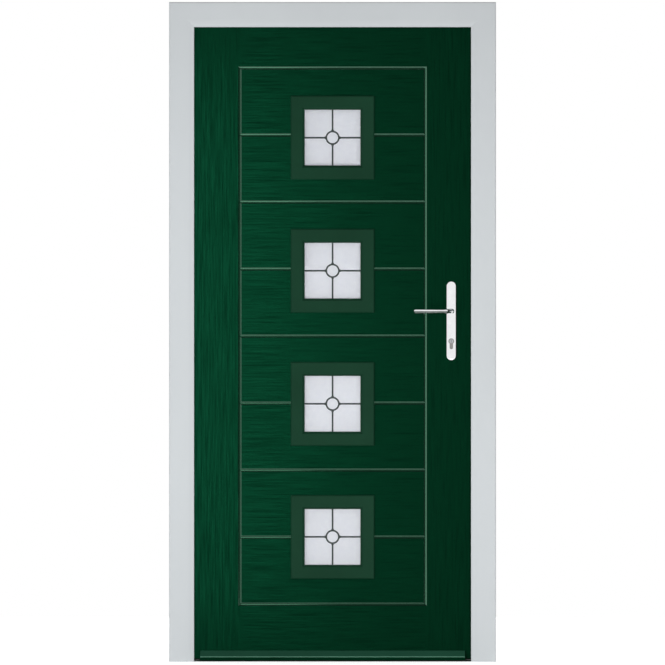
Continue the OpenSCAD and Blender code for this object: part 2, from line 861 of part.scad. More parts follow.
// Section of the weather bar, as distance out from the skin and height above its foot
module bar_section(solid) {
  nose = bar_wall;
  difference() {
    union() {
      polygon([[0, 0], [0, bar_h], [bar_wall, bar_h], [bar_out - nose / 2, bar_lip_h + nose],
        [bar_out - nose, bar_lip_h], [bar_out - nose, 0]]);
      translate([bar_out - nose, 0]) square([nose, bar_lip_h]);
      translate([bar_out - nose, bar_lip_h]) circle(nose);
    }
    if (!solid) {
      polygon([[bar_wall, -over], [bar_wall, bar_h - 1.7 * bar_wall],
        [bar_out - 1.6 * bar_wall, bar_lip_h], [bar_out - bar_wall, bar_lip_h - bar_wall],
        [bar_out - bar_wall, -over]]);
      translate([-over, -over]) square([bar_wall + 2 * over, bar_drop + 2 * over]);
    }
  }
}

module weather_bar() {
  end_x = sight_x - bar_end_gap;
  color(green_skin) translate([0, slab_out_y, slab_foot_z - bar_drop]) {
    along_x(-end_x, end_x) mirror([1, 0]) bar_section(false);
    along_x(-end_x, bar_wall - end_x) mirror([1, 0]) bar_section(true);
    along_x(end_x - bar_wall, end_x) mirror([1, 0]) bar_section(true);
  }
}

module bottom_seal() {
  foot_z = threshold_h + seal_fit;
  carrier_z = slab_foot_z - bottom_gap / 3;
  color(dark_rubber) along_x(edge_gap - slab_x, slab_x - edge_gap)
    translate([slab_mid_y, 0])
      polygon([[-seal_w, slab_foot_z], [-seal_w, carrier_z], [-seal_w / 2, carrier_z],
        [-seal_w / 4, foot_z], [seal_w / 4, foot_z], [seal_w / 2, carrier_z],
        [seal_w, carrier_z], [seal_w, slab_foot_z]]);
}

// A glazing cassette on the outside of the slab, centred on its light
module cassette() {
  half = cassette_w / 2;
  sight = sight_w / 2;
  difference() {
    union() {
      edged_block(half, half, [[0, slab_out_y], [0, cassette_out_y + cassette_bevel],
        [-cassette_bevel, cassette_out_y]]);
      box([-skirt_w / 2, slab_out_y - over, -skirt_w / 2],
          [skirt_w / 2, slab_mid_y - seat_fit / 2, skirt_w / 2]);
    }
    edged_block(sight, sight, [[0, glass_out_y + over], [0, cassette_out_y + sight_bevel],
      [sight_bevel, cassette_out_y], [sight_bevel + over, cassette_out_y - over]]);
    box([-pocket_w / 2, glass_out_y, -pocket_w / 2], [pocket_w / 2, slab_mid_y + over, pocket_w / 2]);
  }
}

module outer_cassette(i) {
  color(green_skin) translate([0, 0, light_z(i)]) difference() {
    cassette();
    light_screws(screw_fit);
  }
}

module inner_cassette(i) {
  color(green_skin) translate([0, 0, light_z(i)]) difference() {
    on_inside() cassette();
    light_screws(screw_fit);
  }
}

// A square ring between two planes of Y
module square_ring(outer_w, inner_w, y0, y1) {
  along_y(y0, y1) difference() {
    square(outer_w, center = true);
    square(inner_w, center = true);
  }
}

module glass_unit(i) {
  color(frosted_glass) translate([0, 0, light_z(i)]) {
    along_y(glass_out_y, glass_out_y + pane_t) square(glass_w, center = true);
    along_y(glass_out_y + glass_t - pane_t, glass_out_y + glass_t) square(glass_w, center = true);
    square_ring(spacer_out_w, spacer_out_w - 2 * spacer_w,
      glass_out_y + pane_t + pane_bond, glass_out_y + glass_t - pane_t - pane_bond);
  }
}

module lead_strip(i) {
  bar_l = sight_w - 2 * seat_fit;
  color(lead_grey) translate([0, 0, light_z(i)]) along_y(glass_out_y - lead_t, glass_out_y) {
    difference() {
      union() {
        square([lead_w, bar_l], center = true);
        square([bar_l, lead_w], center = true);
        circle(d = ring_d);
      }
      circle(d = ring_d - 2 * lead_w);
    }
  }
}

module cassette_screws() {
  color(bright_chrome) for (i = [0 : light_count - 1])
    translate([0, 0, light_z(i)]) light_screws();
}

module door_screws() {
  color(bright_chrome) {
    leaf_screws(1);
    faceplate_screws();
  }
}

module lock_faceplate() {
  color(zinc_steel) difference() {
    box([faceplate_x, slab_mid_y - strip_w / 2, strip_z0], [slab_x, slab_mid_y + strip_w / 2, strip_z1]);
    lock_windows(faceplate_x - over, slab_x + over, 2 * sliding_fit);
    faceplate_screws(screw_fit);
  }
}

module lock_case() {
  half = case_t / 2;
  color(zinc_steel) difference() {
    box([case_back_x, slab_mid_y - half, case_z - case_h / 2],
        [case_front_x, slab_mid_y + half, case_z + case_h / 2]);
    bolt_window(slab_x - latch_l - window_fit, slab_x, latch_z, latch_w, latch_h, sliding_fit);
    bolt_window(slab_x - dead_bolt_l - window_fit, slab_x, dead_bolt_z, dead_bolt_w, dead_bolt_h,
      sliding_fit);
    translate([lever_x, 0, lever_z]) rod_y(spindle_bore_r, slab_out_y, in_y);
    translate([lever_x, 0, cylinder_z]) {
      along_y(slab_out_y, in_y) cylinder_outline(seat_fit);
      rod_y(cam_r + window_fit, cam_y0, cam_y1);
    }
  }
}

// The box that a hook folds into, open towards the faceplate and crossed by the hook's pivot
module hook_box(z) {
  half = case_t / 2;
  room = hook_t / 2 + sliding_fit;
  color(zinc_steel) translate([hook_x, slab_mid_y, z]) {
    difference() {
      box([-hook_box_foot, -half, -hook_box_foot], [case_front_x - hook_x, half, hook_box_top]);
      box([-hook_boss_r - sliding_fit, -room, -hook_boss_r - sliding_fit],
          [case_front_x - hook_x + over, room, hook_sweep + sliding_fit]);
    }
    rod_y(hook_pivot_d / 2, -half, half);
  }
}

module drive_rail() {
  color(zinc_steel) difference() {
    box([rail_x, slab_mid_y - rail_w / 2, rail_z0], [rail_x + rail_t, slab_mid_y + rail_w / 2, rail_z1]);
    lock_windows(rail_x - over, rail_x + rail_t + over, 2 * sliding_fit, rail_travel);
  }
}

module latch_bolt() {
  half = latch_w / 2;
  tail_x = slab_x - latch_l;
  color(bright_chrome) translate([0, slab_mid_y, latch_z - latch_h / 2]) linear_extrude(latch_h)
    polygon([[tail_x, -half], [slab_x - latch_throw, -half], [slab_x, half / 2], [slab_x, half],
      [tail_x, half]]);
}

module dead_bolt() {
  half = dead_bolt_w / 2;
  nose = half / 4;
  tail_x = slab_x - dead_bolt_l;
  color(bright_chrome) translate([0, slab_mid_y, dead_bolt_z - dead_bolt_h / 2])
    linear_extrude(dead_bolt_h)
      polygon([[tail_x, -half], [slab_x - nose, -half], [slab_x, nose - half], [slab_x, half - nose],
        [slab_x - nose, half], [tail_x, half]]);
}

// A hook folded up into its box, with its beak towards the faceplate
module hook(z) {
  arm = hook_arm_w / 2;
  beak_h = hook_l / 4;
  nip = beak_h / 3;
  color(bright_chrome) translate([hook_x, 0, z])
    along_y(slab_mid_y - hook_t / 2, slab_mid_y + hook_t / 2) difference() {
      union() {
        circle(hook_boss_r);
        polygon([[-arm, 0], [arm, 0], [arm, hook_l - beak_h], [hook_beak, hook_l - beak_h],
          [hook_beak, hook_l - nip], [hook_beak - nip, hook_l], [nip - arm, hook_l], [-arm, hook_l - nip]]);
      }
      circle(hook_pivot_d / 2 + running_fit);
    }
}

// Half of the crowned section of a handle plate, as distance from its middle and height off the skin
module plate_half_section() {
  edge_r = plate_t / 4;
  intersection() {
    union() {
      square([plate_w / 2, plate_t / 2]);
      square([plate_w / 2 - edge_r, plate_t]);
      translate([plate_w / 2 - edge_r, plate_t * 0.79 - edge_r]) circle(edge_r);
    }
    translate([0, plate_t - plate_crown_r]) circle(plate_crown_r, $fn = 128);
    square([plate_w / 2, plate_t]);
  }
}

// A handle plate with round ends on the inside of the slab, less the neck and cylinder holes
module handle_plate() {
  straight = plate_h - plate_w;
  difference() {
    translate([lever_x, in_y, plate_z]) {
      for (k = [-1, 1])
        translate([0, 0, k * straight / 2]) rotate([-90, 0, 0]) rotate_extrude() plate_half_section();
      translate([0, 0, -straight / 2]) linear_extrude(straight) {
        plate_half_section();
        mirror([1, 0]) plate_half_section();
      }
    }
    translate([lever_x, 0, lever_z]) rod_y(neck_d / 2 + running_fit, in_y - over, in_y + plate_t + over);
    translate([lever_x, 0, cylinder_z])
      along_y(in_y - over, in_y + plate_t + over) cylinder_outline(seat_fit);
  }
}

module outside_handle_plate() {
  color(bright_chrome) difference() {
    on_inside() handle_plate();
    plate_bolts(screw_fit);
  }
}

module inside_handle_plate() {
  color(bright_chrome) difference() {
    handle_plate();
    plate_bolts(screw_fit);
  }
}

module handle_bolts() {
  color(bright_chrome) plate_bolts();
}

// One rounded end of a stretch of the lever, at a distance along it and off the skin
module lever_bead(along, out, h) {
  translate([-along, out, 0]) scale([h / 2, lever_depth / 2, h / 2]) sphere(1, $fn = 28);
}

// A lever on the inside of the slab: a round neck, a turned elbow and a tapering grip
module lever() {
  root_l = 1.6 * neck_d;
  tip_l = lever_l - lever_tip_h / 2;
  difference() {
    translate([lever_x, in_y, lever_z]) {
      rod_y(neck_d / 2, neck_start, lever_out);
      hull() {
        translate([0, lever_out, 0]) sphere(d = neck_d, $fn = 28);
        lever_bead(root_l, lever_out + neck_d / 8, lever_root_h);
      }
      hull() {
        lever_bead(root_l, lever_out + neck_d / 8, lever_root_h);
        lever_bead(0.6 * lever_l, lever_out + neck_d / 8, (lever_root_h + lever_tip_h) / 2);
      }
      hull() {
        lever_bead(0.6 * lever_l, lever_out + neck_d / 8, (lever_root_h + lever_tip_h) / 2);
        lever_bead(tip_l, lever_out - neck_d / 8, lever_tip_h);
      }
    }
    socket = spindle_w / 2 + screw_fit;
    translate([lever_x, in_y, lever_z])
      box([-socket, 0, -socket], [socket, socket_end, socket]);
  }
}

module outside_lever() {
  color(bright_chrome) on_inside() lever();
}

module inside_lever() {
  color(bright_chrome) lever();
}

module spindle() {
  half = spindle_w / 2;
  reach = socket_end - over;
  color(zinc_steel) translate([lever_x, 0, lever_z])
    box([-half, slab_out_y - reach, -half], [half, in_y + reach, half]);
}

module cylinder_body() {
  bore_r = plug_d / 2 + running_fit;
  color(bright_chrome) translate([lever_x, 0, cylinder_z]) difference() {
    along_y(cylinder_y0, cylinder_y1) cylinder_outline();
    rod_y(bore_r, cylinder_y0 - over, cylinder_y1 + over);
    rod_y(cam_r + sliding_fit, cam_y0, cam_y1);
  }
}

module key_plug() {
  keyway_w = 2.2;
  keyway_h = 0.68 * plug_d;
  color(zinc_steel) translate([lever_x, 0, cylinder_z]) difference() {
    rod_y(plug_d / 2, cylinder_y0, cam_y0 - sliding_fit);
    box([-keyway_w / 2, cylinder_y0 - over, -keyway_h / 2],
        [keyway_w / 2, slab_out_y, keyway_h / 2]);
  }
}

module thumb_turn() {
  collar_y = cylinder_y1 + sliding_fit;
  collar_t = turn_l / 5;
  color(bright_chrome) translate([lever_x, 0, cylinder_z]) {
    rod_y(plug_d / 2, cam_y1 - sliding_fit, collar_y + over);
    rod_y(barrel_d / 2, collar_y, collar_y + collar_t);
    along_y(collar_y + collar_t, collar_y + turn_l) intersection() {
      circle(d = turn_d);
      square([turn_w, turn_d], center = true);
    }
  }
}

module cylinder_cam() {
  hub_r = barrel_d / 2 - sliding_fit;
  color(zinc_steel) translate([lever_x, 0, cylinder_z])
    along_y(cam_y0 + sliding_fit, cam_y1 - sliding_fit) {
      circle(hub_r);
      intersection() {
        circle(cam_r);
        translate([-tail_w / 2, -cam_r]) square([tail_w, cam_r]);
      }
    }
}

hinge_jamb();
lock_jamb();
frame_head();
threshold();
frame_seal();
keep_plate(0);  // lower_keep_plate
keep_plate(1);  // middle_keep_plate
keep_plate(2);  // upper_keep_plate
hinge_frame_leaf(0);  // hinge_frame_leaf_1
hinge_frame_leaf(1);  // hinge_frame_leaf_2
hinge_frame_leaf(2);  // hinge_frame_leaf_3
hinge_pins();
frame_screws();
outer_skin();
inner_skin();
foam_core();
hinge_stile();
lock_stile();
top_rail();
bottom_rail();
weather_bar();
bottom_seal();
outer_cassette(0);  // outer_cassette_1
outer_cassette(1);  // outer_cassette_2
outer_cassette(2);  // outer_cassette_3
outer_cassette(3);  // outer_cassette_4
inner_cassette(0);  // inner_cassette_1
inner_cassette(1);  // inner_cassette_2
inner_cassette(2);  // inner_cassette_3
inner_cassette(3);  // inner_cassette_4
glass_unit(0);  // glass_unit_1
glass_unit(1);  // glass_unit_2
glass_unit(2);  // glass_unit_3
glass_unit(3);  // glass_unit_4
lead_strip(0);  // lead_strip_1
lead_strip(1);  // lead_strip_2
lead_strip(2);  // lead_strip_3
lead_strip(3);  // lead_strip_4
cassette_screws();
hinge_door_leaf(0);  // hinge_door_leaf_1
hinge_door_leaf(1);  // hinge_door_leaf_2
hinge_door_leaf(2);  // hinge_door_leaf_3
door_screws();
lock_faceplate();
lock_case();
hook_box(upper_hook_z);  // upper_hook_box
hook_box(lower_hook_z);  // lower_hook_box
drive_rail();
latch_bolt();
dead_bolt();
hook(upper_hook_z);  // upper_hook
hook(lower_hook_z);  // lower_hook
outside_handle_plate();
inside_handle_plate();
handle_bolts();
outside_lever();
inside_lever();
spindle();
cylinder_body();
key_plug();
thumb_turn();
cylinder_cam();
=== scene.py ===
"""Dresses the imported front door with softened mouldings, smooth levers, finishes and a stage."""

import json
import math
from collections import namedtuple

import bmesh
import bpy
from mathutils import Matrix, Vector
from mathutils.kdtree import KDTree


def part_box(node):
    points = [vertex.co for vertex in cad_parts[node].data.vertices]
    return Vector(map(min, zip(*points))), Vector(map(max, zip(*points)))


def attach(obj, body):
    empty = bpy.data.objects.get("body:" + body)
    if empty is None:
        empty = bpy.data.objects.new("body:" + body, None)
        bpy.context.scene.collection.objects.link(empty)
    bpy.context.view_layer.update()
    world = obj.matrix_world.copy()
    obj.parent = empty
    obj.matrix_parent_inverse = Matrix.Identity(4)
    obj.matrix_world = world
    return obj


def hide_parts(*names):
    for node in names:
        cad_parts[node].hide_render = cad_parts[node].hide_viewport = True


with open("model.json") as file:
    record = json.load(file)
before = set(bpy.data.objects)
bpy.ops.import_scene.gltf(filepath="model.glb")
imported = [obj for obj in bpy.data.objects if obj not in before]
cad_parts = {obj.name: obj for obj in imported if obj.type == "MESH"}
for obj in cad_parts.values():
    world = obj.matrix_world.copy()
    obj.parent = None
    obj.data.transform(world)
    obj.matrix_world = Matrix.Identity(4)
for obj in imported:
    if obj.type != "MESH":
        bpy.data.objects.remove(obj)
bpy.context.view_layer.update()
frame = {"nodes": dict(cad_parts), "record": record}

bl_info = {
    "name": "Front door dressing",
    "version": (1, 0, 0),
    "blender": (4, 5, 0),
    "location": "3D View > Sidebar > Door",
    "description": "Dresses a framed front door with its finishes and sets its stage",
    "category": "Object",
}

RECORD = frame["record"]
BODY_OF = {
    node: body for body, nodes in RECORD["behaviour"]["bodies"].items() for node in nodes
}
SLOT_OF = {entry["node"]: entry["material_slot"] for entry in RECORD["subparts"]}
LIGHTS = (1, 2, 3, 4)
HINGES = (1, 2, 3)

# Places that the dressing takes from the frame
OUT_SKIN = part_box("outer_skin")
LEVER_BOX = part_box("inside_lever")
SPINDLE_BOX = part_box("spindle")
LEVER_AXIS = (SPINDLE_BOX[0] + SPINDLE_BOX[1]) / 2
INSIDE_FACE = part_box("inner_skin")[1].y

# Spacing of the nodes in a shader's tree
NODE_STEP = Vector((220, 200))

# Limits for joining triangles and finding edges
MERGE = 2e-6
SEAM = 2e-4
FLAT_ANGLE = math.radians(0.2)
CRISP_ANGLE = math.radians(28)
SMOOTH_ANGLE = math.radians(38)
CYLINDER_REACH = 0.028

# Waves of the skins' grain in a metre along it and across it, and the fine grain's share of the depth
GRAIN_LENGTH = 7
GRAIN_WIDTH = 230
FINE_LENGTH = 14
FINE_WIDTH = 800
FINE_SHARE = 0.4

# Where the finish changes on a piece: leans are the Y part of a face's normal
STILE_LINE = 0.284
# The grooves' flanks between these leans get a darker green as painted shade
FLANK_LEAN = (0.3, 0.88)
EDGE_BAND = 0.05
# The weather bar's nose gets a painted highlight, and its lip the skins' darker green, within these
NOSE_SHARE = 0.5
LIP_LEAN = -0.985
NOSE_LEAN = -0.6

# How the levers are drawn out: an ease is a reach and the share of the grip's section there
SECTION_POINTS = 28
BEND_STEPS = 5
STRAIGHT_STEPS = 4
DROP_STEPS = 5
TIP_STEPS = 7
TIP_TURN = math.radians(86.30137)
TIP_LEAN = 0.1
SHAPED_TURN = math.radians(40)
GRIP_POWER = 4
GRIP_MIDDLE = 0.6
GRIP_EASES = ((0.003, 0.9), (0.006, 1.0))
NECK_COLLAR = 0.0006
NECK_SHARE = 0.75
Section = namedtuple("Section", "reach out turn half_height half_depth")

# How the lead is drawn
ALONG_MATCH = 0.99
RING_ARC = 7
RING_STEPS = 56
BAR_HEIGHT = 0.9
BAR_ROUNDING = 0.8
SOLDER_WIDTH = 0.85
SOLDER_HEIGHT = 0.97

# Points that the lamps face, and their places and sizes
DOOR_MIDDLE = (0, 0, 0.95)
LEFT_PLANKS = (-0.25, 0, 0.95)
KEY_PLACE = (-2.6, -1.75, 0.3)
KEY_SIZE = (1.4, 0.5)
STRIP_PLACE = (-0.5, -2.0, 0.98)
STRIP_SIZE = (0.8, 1.92)
FILL_PLACE = (0.1, -3.2, 0.5)
FILL_SIZE = (2.4, 0.9)
BACK_PLACE = (0.8, 3.2, 1.5)
BACK_SIZE = (1.6, 1.6)

# What gloss shows of the room: its dark sides, and the light from the low left
SIDE_LEVEL = 0.04
WALL_SPREAD = (0.4, 0.75)
LOW_LEFT_WAY = (-0.75, 0, -0.66)
LOW_LEFT_SPREAD = (0.15, 0.6)

# Floor and camera
FLOOR_REACH = 2.6
FLOOR_GREY = (0.86, 0.86, 0.86, 1)
SENSOR_WIDTH = 36
VIEW_REACH = 200

# Finishes by slot or by their own name, filled by the first step
FINISHES = {}


class FrontDoorFinishes(bpy.types.PropertyGroup):
    """Colours and surface values of the finishes."""

    frame_white: bpy.props.FloatVectorProperty(
        name="Frame white", description="Colour of the plastic frame", subtype="COLOR",
        size=3, min=0, max=1, default=(0.675, 0.71, 0.73),
    )
    door_green: bpy.props.FloatVectorProperty(
        name="Door green", description="Colour of the moulded skins", subtype="COLOR",
        size=3, min=0, max=1, default=(0.00105, 0.02, 0.0078),
    )
    grain_green: bpy.props.FloatVectorProperty(
        name="Grain green", description="Colour in the hollows of the grain", subtype="COLOR",
        size=3, min=0, max=1, default=(0.0003, 0.0075, 0.0027),
    )
    sheen_green: bpy.props.FloatVectorProperty(
        name="Sheen green", description="Tint of the gloss on the moulded skins", subtype="COLOR",
        size=3, min=0, max=1, default=(0.05, 1.0, 0.47),
    )
    # Darker than the skins: painted shade in the grooves
    shaded_groove_green: bpy.props.FloatVectorProperty(
        name="Groove green", description="Colour of the grooves' smooth flanks", subtype="COLOR",
        size=3, min=0, max=1, default=(0.001, 0.010, 0.005),
    )
    cassette_green: bpy.props.FloatVectorProperty(
        name="Cassette green", description="Colour of the glazing cassettes", subtype="COLOR",
        size=3, min=0, max=1, default=(0.0095, 0.0465, 0.024),
    )
    # Paler than the skins: painted light from above on the weather bar's sloping top
    painted_light_bar_green: bpy.props.FloatVectorProperty(
        name="Bar green", description="Colour of the weather bar", subtype="COLOR",
        size=3, min=0, max=1, default=(0.017, 0.08, 0.047),
    )
    # Pale green of the weather bar's nose: a painted highlight along its edge
    nose_highlight_green: bpy.props.FloatVectorProperty(
        name="Nose green", description="Colour of the weather bar's worn nose", subtype="COLOR",
        size=3, min=0, max=1, default=(0.12, 0.3, 0.21),
    )
    glass_tint: bpy.props.FloatVectorProperty(
        name="Glass tint", description="Colour of the obscured glass", subtype="COLOR",
        size=3, min=0, max=1, default=(0.92, 0.94, 1.0),
    )
    lead_grey: bpy.props.FloatVectorProperty(
        name="Lead grey", description="Colour of the lead strips", subtype="COLOR",
        size=3, min=0, max=1, default=(0.045, 0.06, 0.056),
    )
    grain_depth: bpy.props.FloatProperty(
        name="Grain depth", description="Depth of the moulded wood grain", unit="LENGTH",
        min=0, max=0.002, default=0.0006,
    )


class FrontDoorSizes(bpy.types.PropertyGroup):
    """Sizes of the details that the dressing adds."""

    frame_edge: bpy.props.FloatProperty(
        name="Frame edge", description="Softening of the frame's edges", unit="LENGTH",
        min=0.0001, max=0.003, default=0.0022,
    )
    skin_edge: bpy.props.FloatProperty(
        name="Skin edge", description="Softening of the groove edges", unit="LENGTH",
        min=0.0001, max=0.002, default=0.0007,
    )
    cassette_edge: bpy.props.FloatProperty(
        name="Cassette edge", description="Softening of the cassettes' edges", unit="LENGTH",
        min=0.0001, max=0.002, default=0.0009,
    )
    metal_edge: bpy.props.FloatProperty(
        name="Metal edge", description="Softening of the metal parts' edges", unit="LENGTH",
        min=0.0001, max=0.001, default=0.0004,
    )
    rim_edge: bpy.props.FloatProperty(
        name="Rim edge", description="Softening of the rim round the lock cylinder", unit="LENGTH",
        min=0.0001, max=0.002, default=0.0012,
    )
    elbow_radius: bpy.props.FloatProperty(
        name="Elbow radius", description="Radius of the lever's two bends", unit="LENGTH",
        min=0.004, max=0.012, default=0.008,
    )
    elbow_slant: bpy.props.FloatProperty(
        name="Elbow slant", description="Reach of the lever's slanted neck", unit="LENGTH",
        min=0.002, max=0.014, default=0.012,
    )
    grip_depth: bpy.props.FloatProperty(
        name="Grip depth", description="Half the depth of the lever's grip", unit="LENGTH",
        min=0.004, max=0.008, default=0.0065,
    )
    grip_root: bpy.props.FloatProperty(
        name="Grip root", description="Half the height of the grip where it starts", unit="LENGTH",
        min=0.004, max=0.0065, default=0.00525,
    )
    grip_tip: bpy.props.FloatProperty(
        name="Grip tip", description="Half the height of the grip at its tip", unit="LENGTH",
        min=0.004, max=0.0065, default=0.00625,
    )
    grip_drop: bpy.props.FloatProperty(
        name="Grip drop", description="How far the tip turns back to the door", unit="LENGTH",
        min=0, max=0.008, default=0.0042,
    )
    lead_width: bpy.props.FloatProperty(
        name="Lead width", description="Width of the lead strips", unit="LENGTH",
        min=0.003, max=0.008, default=0.005,
    )
    ring_radius: bpy.props.FloatProperty(
        name="Ring radius", description="Outer radius of the lead ring", unit="LENGTH",
        min=0.015, max=0.03, default=0.0217,
    )


class FrontDoorStage(bpy.types.PropertyGroup):
    """Camera, lights and floor."""

    view_width: bpy.props.FloatProperty(
        name="View width", description="Width of the view at the frame's face", unit="LENGTH",
        min=1, max=5, default=2.0336,
    )
    view_x: bpy.props.FloatProperty(
        name="View X", description="Middle of the view across the door", unit="LENGTH",
        default=-0.0002,
    )
    view_z: bpy.props.FloatProperty(
        name="View Z", description="Height of the middle of the view", unit="LENGTH",
        default=1.0072,
    )
    lens: bpy.props.FloatProperty(
        name="Lens", description="Focal length of the camera in millimetres", min=50, max=500,
        default=300,
    )
    room_level: bpy.props.FloatProperty(
        name="Room level", description="Strength of the even light of the room", min=0, max=2,
        default=0.41,
    )
    key_power: bpy.props.FloatProperty(
        name="Key power", description="Power of the low light at the left", unit="POWER",
        min=0, max=500, default=9,
    )
    strip_power: bpy.props.FloatProperty(
        name="Strip power", description="Power of the upright light on the skins", unit="POWER",
        min=0, max=500, default=30,
    )
    fill_power: bpy.props.FloatProperty(
        name="Fill power", description="Power of the even low light in front", unit="POWER",
        min=0, max=500, default=50,
    )
    back_power: bpy.props.FloatProperty(
        name="Back power", description="Power of the soft light on the inside", unit="POWER",
        min=0, max=500, default=60,
    )
    floor_level: bpy.props.FloatProperty(
        name="Floor level", description="How much the floor is lifted towards white", min=0, max=1,
        default=0.7,
    )


def add_node(tree, kind, place, **values):
    """A shader node at a place in the tree, with its properties and socket values set."""
    node = tree.nodes.new(kind)
    node.location = Vector(place) * NODE_STEP
    for name, value in values.items():
        if hasattr(node, name):
            setattr(node, name, value)
        else:
            node.inputs[name.replace("_", " ").title()].default_value = value
    return node


def start_finish(name):
    """A new material with its shader, and the object coordinates that its pattern follows."""
    finish = bpy.data.materials.new(name)
    finish.use_nodes = True
    tree = finish.node_tree
    tree.nodes.clear()
    output = add_node(tree, "ShaderNodeOutputMaterial", (4, 0))
    shader = add_node(tree, "ShaderNodeBsdfPrincipled", (3, 0))
    place = add_node(tree, "ShaderNodeTexCoord", (-4, 0))
    tree.links.new(shader.outputs["BSDF"], output.inputs["Surface"])
    return finish, tree, shader, place.outputs["Object"]


def stretched_noise(tree, vector, scale, detail, row, roughness=0.6):
    """Noise whose pattern is stretched by a scale for each axis, given per metre."""
    mapping = add_node(tree, "ShaderNodeMapping", (-3, row))
    mapping.inputs["Scale"].default_value = scale
    noise = add_node(tree, "ShaderNodeTexNoise", (-2, row), Scale=1.0, Detail=detail)
    noise.inputs["Roughness"].default_value = roughness
    tree.links.new(vector, mapping.inputs["Vector"])
    tree.links.new(mapping.outputs["Vector"], noise.inputs["Vector"])
    return noise.outputs["Fac"]


def tone_ramp(tree, factor, low, high, row, start=0.3, end=0.7):
    """A colour that runs between two tones along a factor."""
    ramp = add_node(tree, "ShaderNodeValToRGB", (0, row))
    ramp.color_ramp.elements[0].position = start
    ramp.color_ramp.elements[0].color = (*low, 1)
    ramp.color_ramp.elements[1].position = end
    ramp.color_ramp.elements[1].color = (*high, 1)
    tree.links.new(factor, ramp.inputs["Fac"])
    return ramp.outputs["Color"]


def add_bump(tree, shader, height, distance, row, strength=1.0):
    """Relief of a given depth on the shader."""
    bump = add_node(tree, "ShaderNodeBump", (2, row), Strength=strength, Distance=distance)
    tree.links.new(height, bump.inputs["Height"])
    tree.links.new(bump.outputs["Normal"], shader.inputs["Normal"])
    return bump


def vary_roughness(tree, shader, factor, low, high, row, start=0.0, end=1.0):
    """Roughness that runs between two values along a factor."""
    spread = add_node(tree, "ShaderNodeMapRange", (1, row))
    spread.inputs["From Min"].default_value = start
    spread.inputs["From Max"].default_value = end
    spread.inputs["To Min"].default_value = low
    spread.inputs["To Max"].default_value = high
    tree.links.new(factor, spread.inputs["Value"])
    tree.links.new(spread.outputs["Result"], shader.inputs["Roughness"])


def shades(colour, low, high):
    """A darker and a lighter tone of a colour."""
    return tuple(tuple(min(1.0, part * amount) for part in colour) for amount in (low, high))


def patterned_finish(name, tones, scale, roughness, relief=0.0, strength=1.0, detail=4):
    """A finish whose tone, roughness and relief follow one stretched noise."""
    finish, tree, shader, place = start_finish(name)
    pattern = stretched_noise(tree, place, scale, detail, row=1)
    tree.links.new(tone_ramp(tree, pattern, *tones, row=1), shader.inputs["Base Color"])
    vary_roughness(tree, shader, pattern, *roughness, row=0)
    if relief:
        add_bump(tree, shader, pattern, relief, row=-1, strength=strength)
    return finish, shader


def frame_finish():
    """Smooth white plastic with a faint drift of tone and a very fine skin."""
    white = bpy.context.scene.front_door_finishes.frame_white
    finish, tree, shader, place = start_finish("white_frame_plastic")
    drift = stretched_noise(tree, place, (2.2, 2.2, 0.8), detail=3, row=1)
    skin = stretched_noise(tree, place, (900, 900, 900), detail=2, row=-1)
    tone = tone_ramp(tree, drift, *shades(white, 0.96, 1.03), row=1)
    tree.links.new(tone, shader.inputs["Base Color"])
    vary_roughness(tree, shader, drift, low=0.34, high=0.44, row=0)
    add_bump(tree, shader, skin, distance=0.00003, row=-1)
    shader.inputs["Specular IOR Level"].default_value = 0.3
    return finish


def on_the_stiles(tree, place):
    """1 on the two stiles and 0 on the planks between them."""
    split = add_node(tree, "ShaderNodeSeparateXYZ", (-3, 4))
    side = add_node(tree, "ShaderNodeMath", (-2, 4), operation="ABSOLUTE")
    beyond = add_node(tree, "ShaderNodeMath", (-1, 4), operation="GREATER_THAN")
    beyond.inputs[1].default_value = STILE_LINE
    tree.links.new(place, split.inputs["Vector"])
    tree.links.new(split.outputs["X"], side.inputs[0])
    tree.links.new(side.outputs["Value"], beyond.inputs[0])
    return beyond.outputs["Value"]


def mix_values(tree, factor, first, second, row):
    """One value where a factor is 0 and another where it is 1."""
    mixed = add_node(tree, "ShaderNodeMix", (-1, row))
    tree.links.new(factor, mixed.inputs["Factor"])
    tree.links.new(first, mixed.inputs["A"])
    tree.links.new(second, mixed.inputs["B"])
    return mixed.outputs["Result"]


def grain_finish():
    """Moulded skin: the grain runs up the stiles and along the planks between them."""
    colours = bpy.context.scene.front_door_finishes
    depth = colours.grain_depth
    finish, tree, shader, place = start_finish("green_grained_skin")
    along = stretched_noise(tree, place, (GRAIN_LENGTH, 1, GRAIN_WIDTH), detail=5, row=2, roughness=0.62)
    fine_along = stretched_noise(tree, place, (FINE_LENGTH, 1, FINE_WIDTH), detail=4, row=1, roughness=0.55)
    up = stretched_noise(tree, place, (GRAIN_WIDTH, 1, GRAIN_LENGTH), detail=5, row=-1, roughness=0.62)
    fine_up = stretched_noise(tree, place, (FINE_WIDTH, 1, FINE_LENGTH), detail=4, row=-2, roughness=0.55)
    stiles = on_the_stiles(tree, place)
    broad = mix_values(tree, stiles, along, up, row=2)
    fine = mix_values(tree, stiles, fine_along, fine_up, row=0)
    tone = tone_ramp(tree, broad, colours.grain_green, colours.door_green, row=2, start=0.34, end=0.6)
    tree.links.new(tone, shader.inputs["Base Color"])
    vary_roughness(tree, shader, broad, low=0.43, high=0.2, row=1, start=0.35, end=0.63)
    coarse_bump = add_node(tree, "ShaderNodeBump", (1, -1), Strength=0.45, Distance=depth)
    tree.links.new(broad, coarse_bump.inputs["Height"])
    fine_bump = add_bump(tree, shader, fine, depth * FINE_SHARE, row=-1, strength=0.7)
    tree.links.new(coarse_bump.outputs["Normal"], fine_bump.inputs["Normal"])
    shader.inputs["Specular IOR Level"].default_value = 0.085
    shader.inputs["Specular Tint"].default_value = (*colours.sheen_green, 1)
    return finish


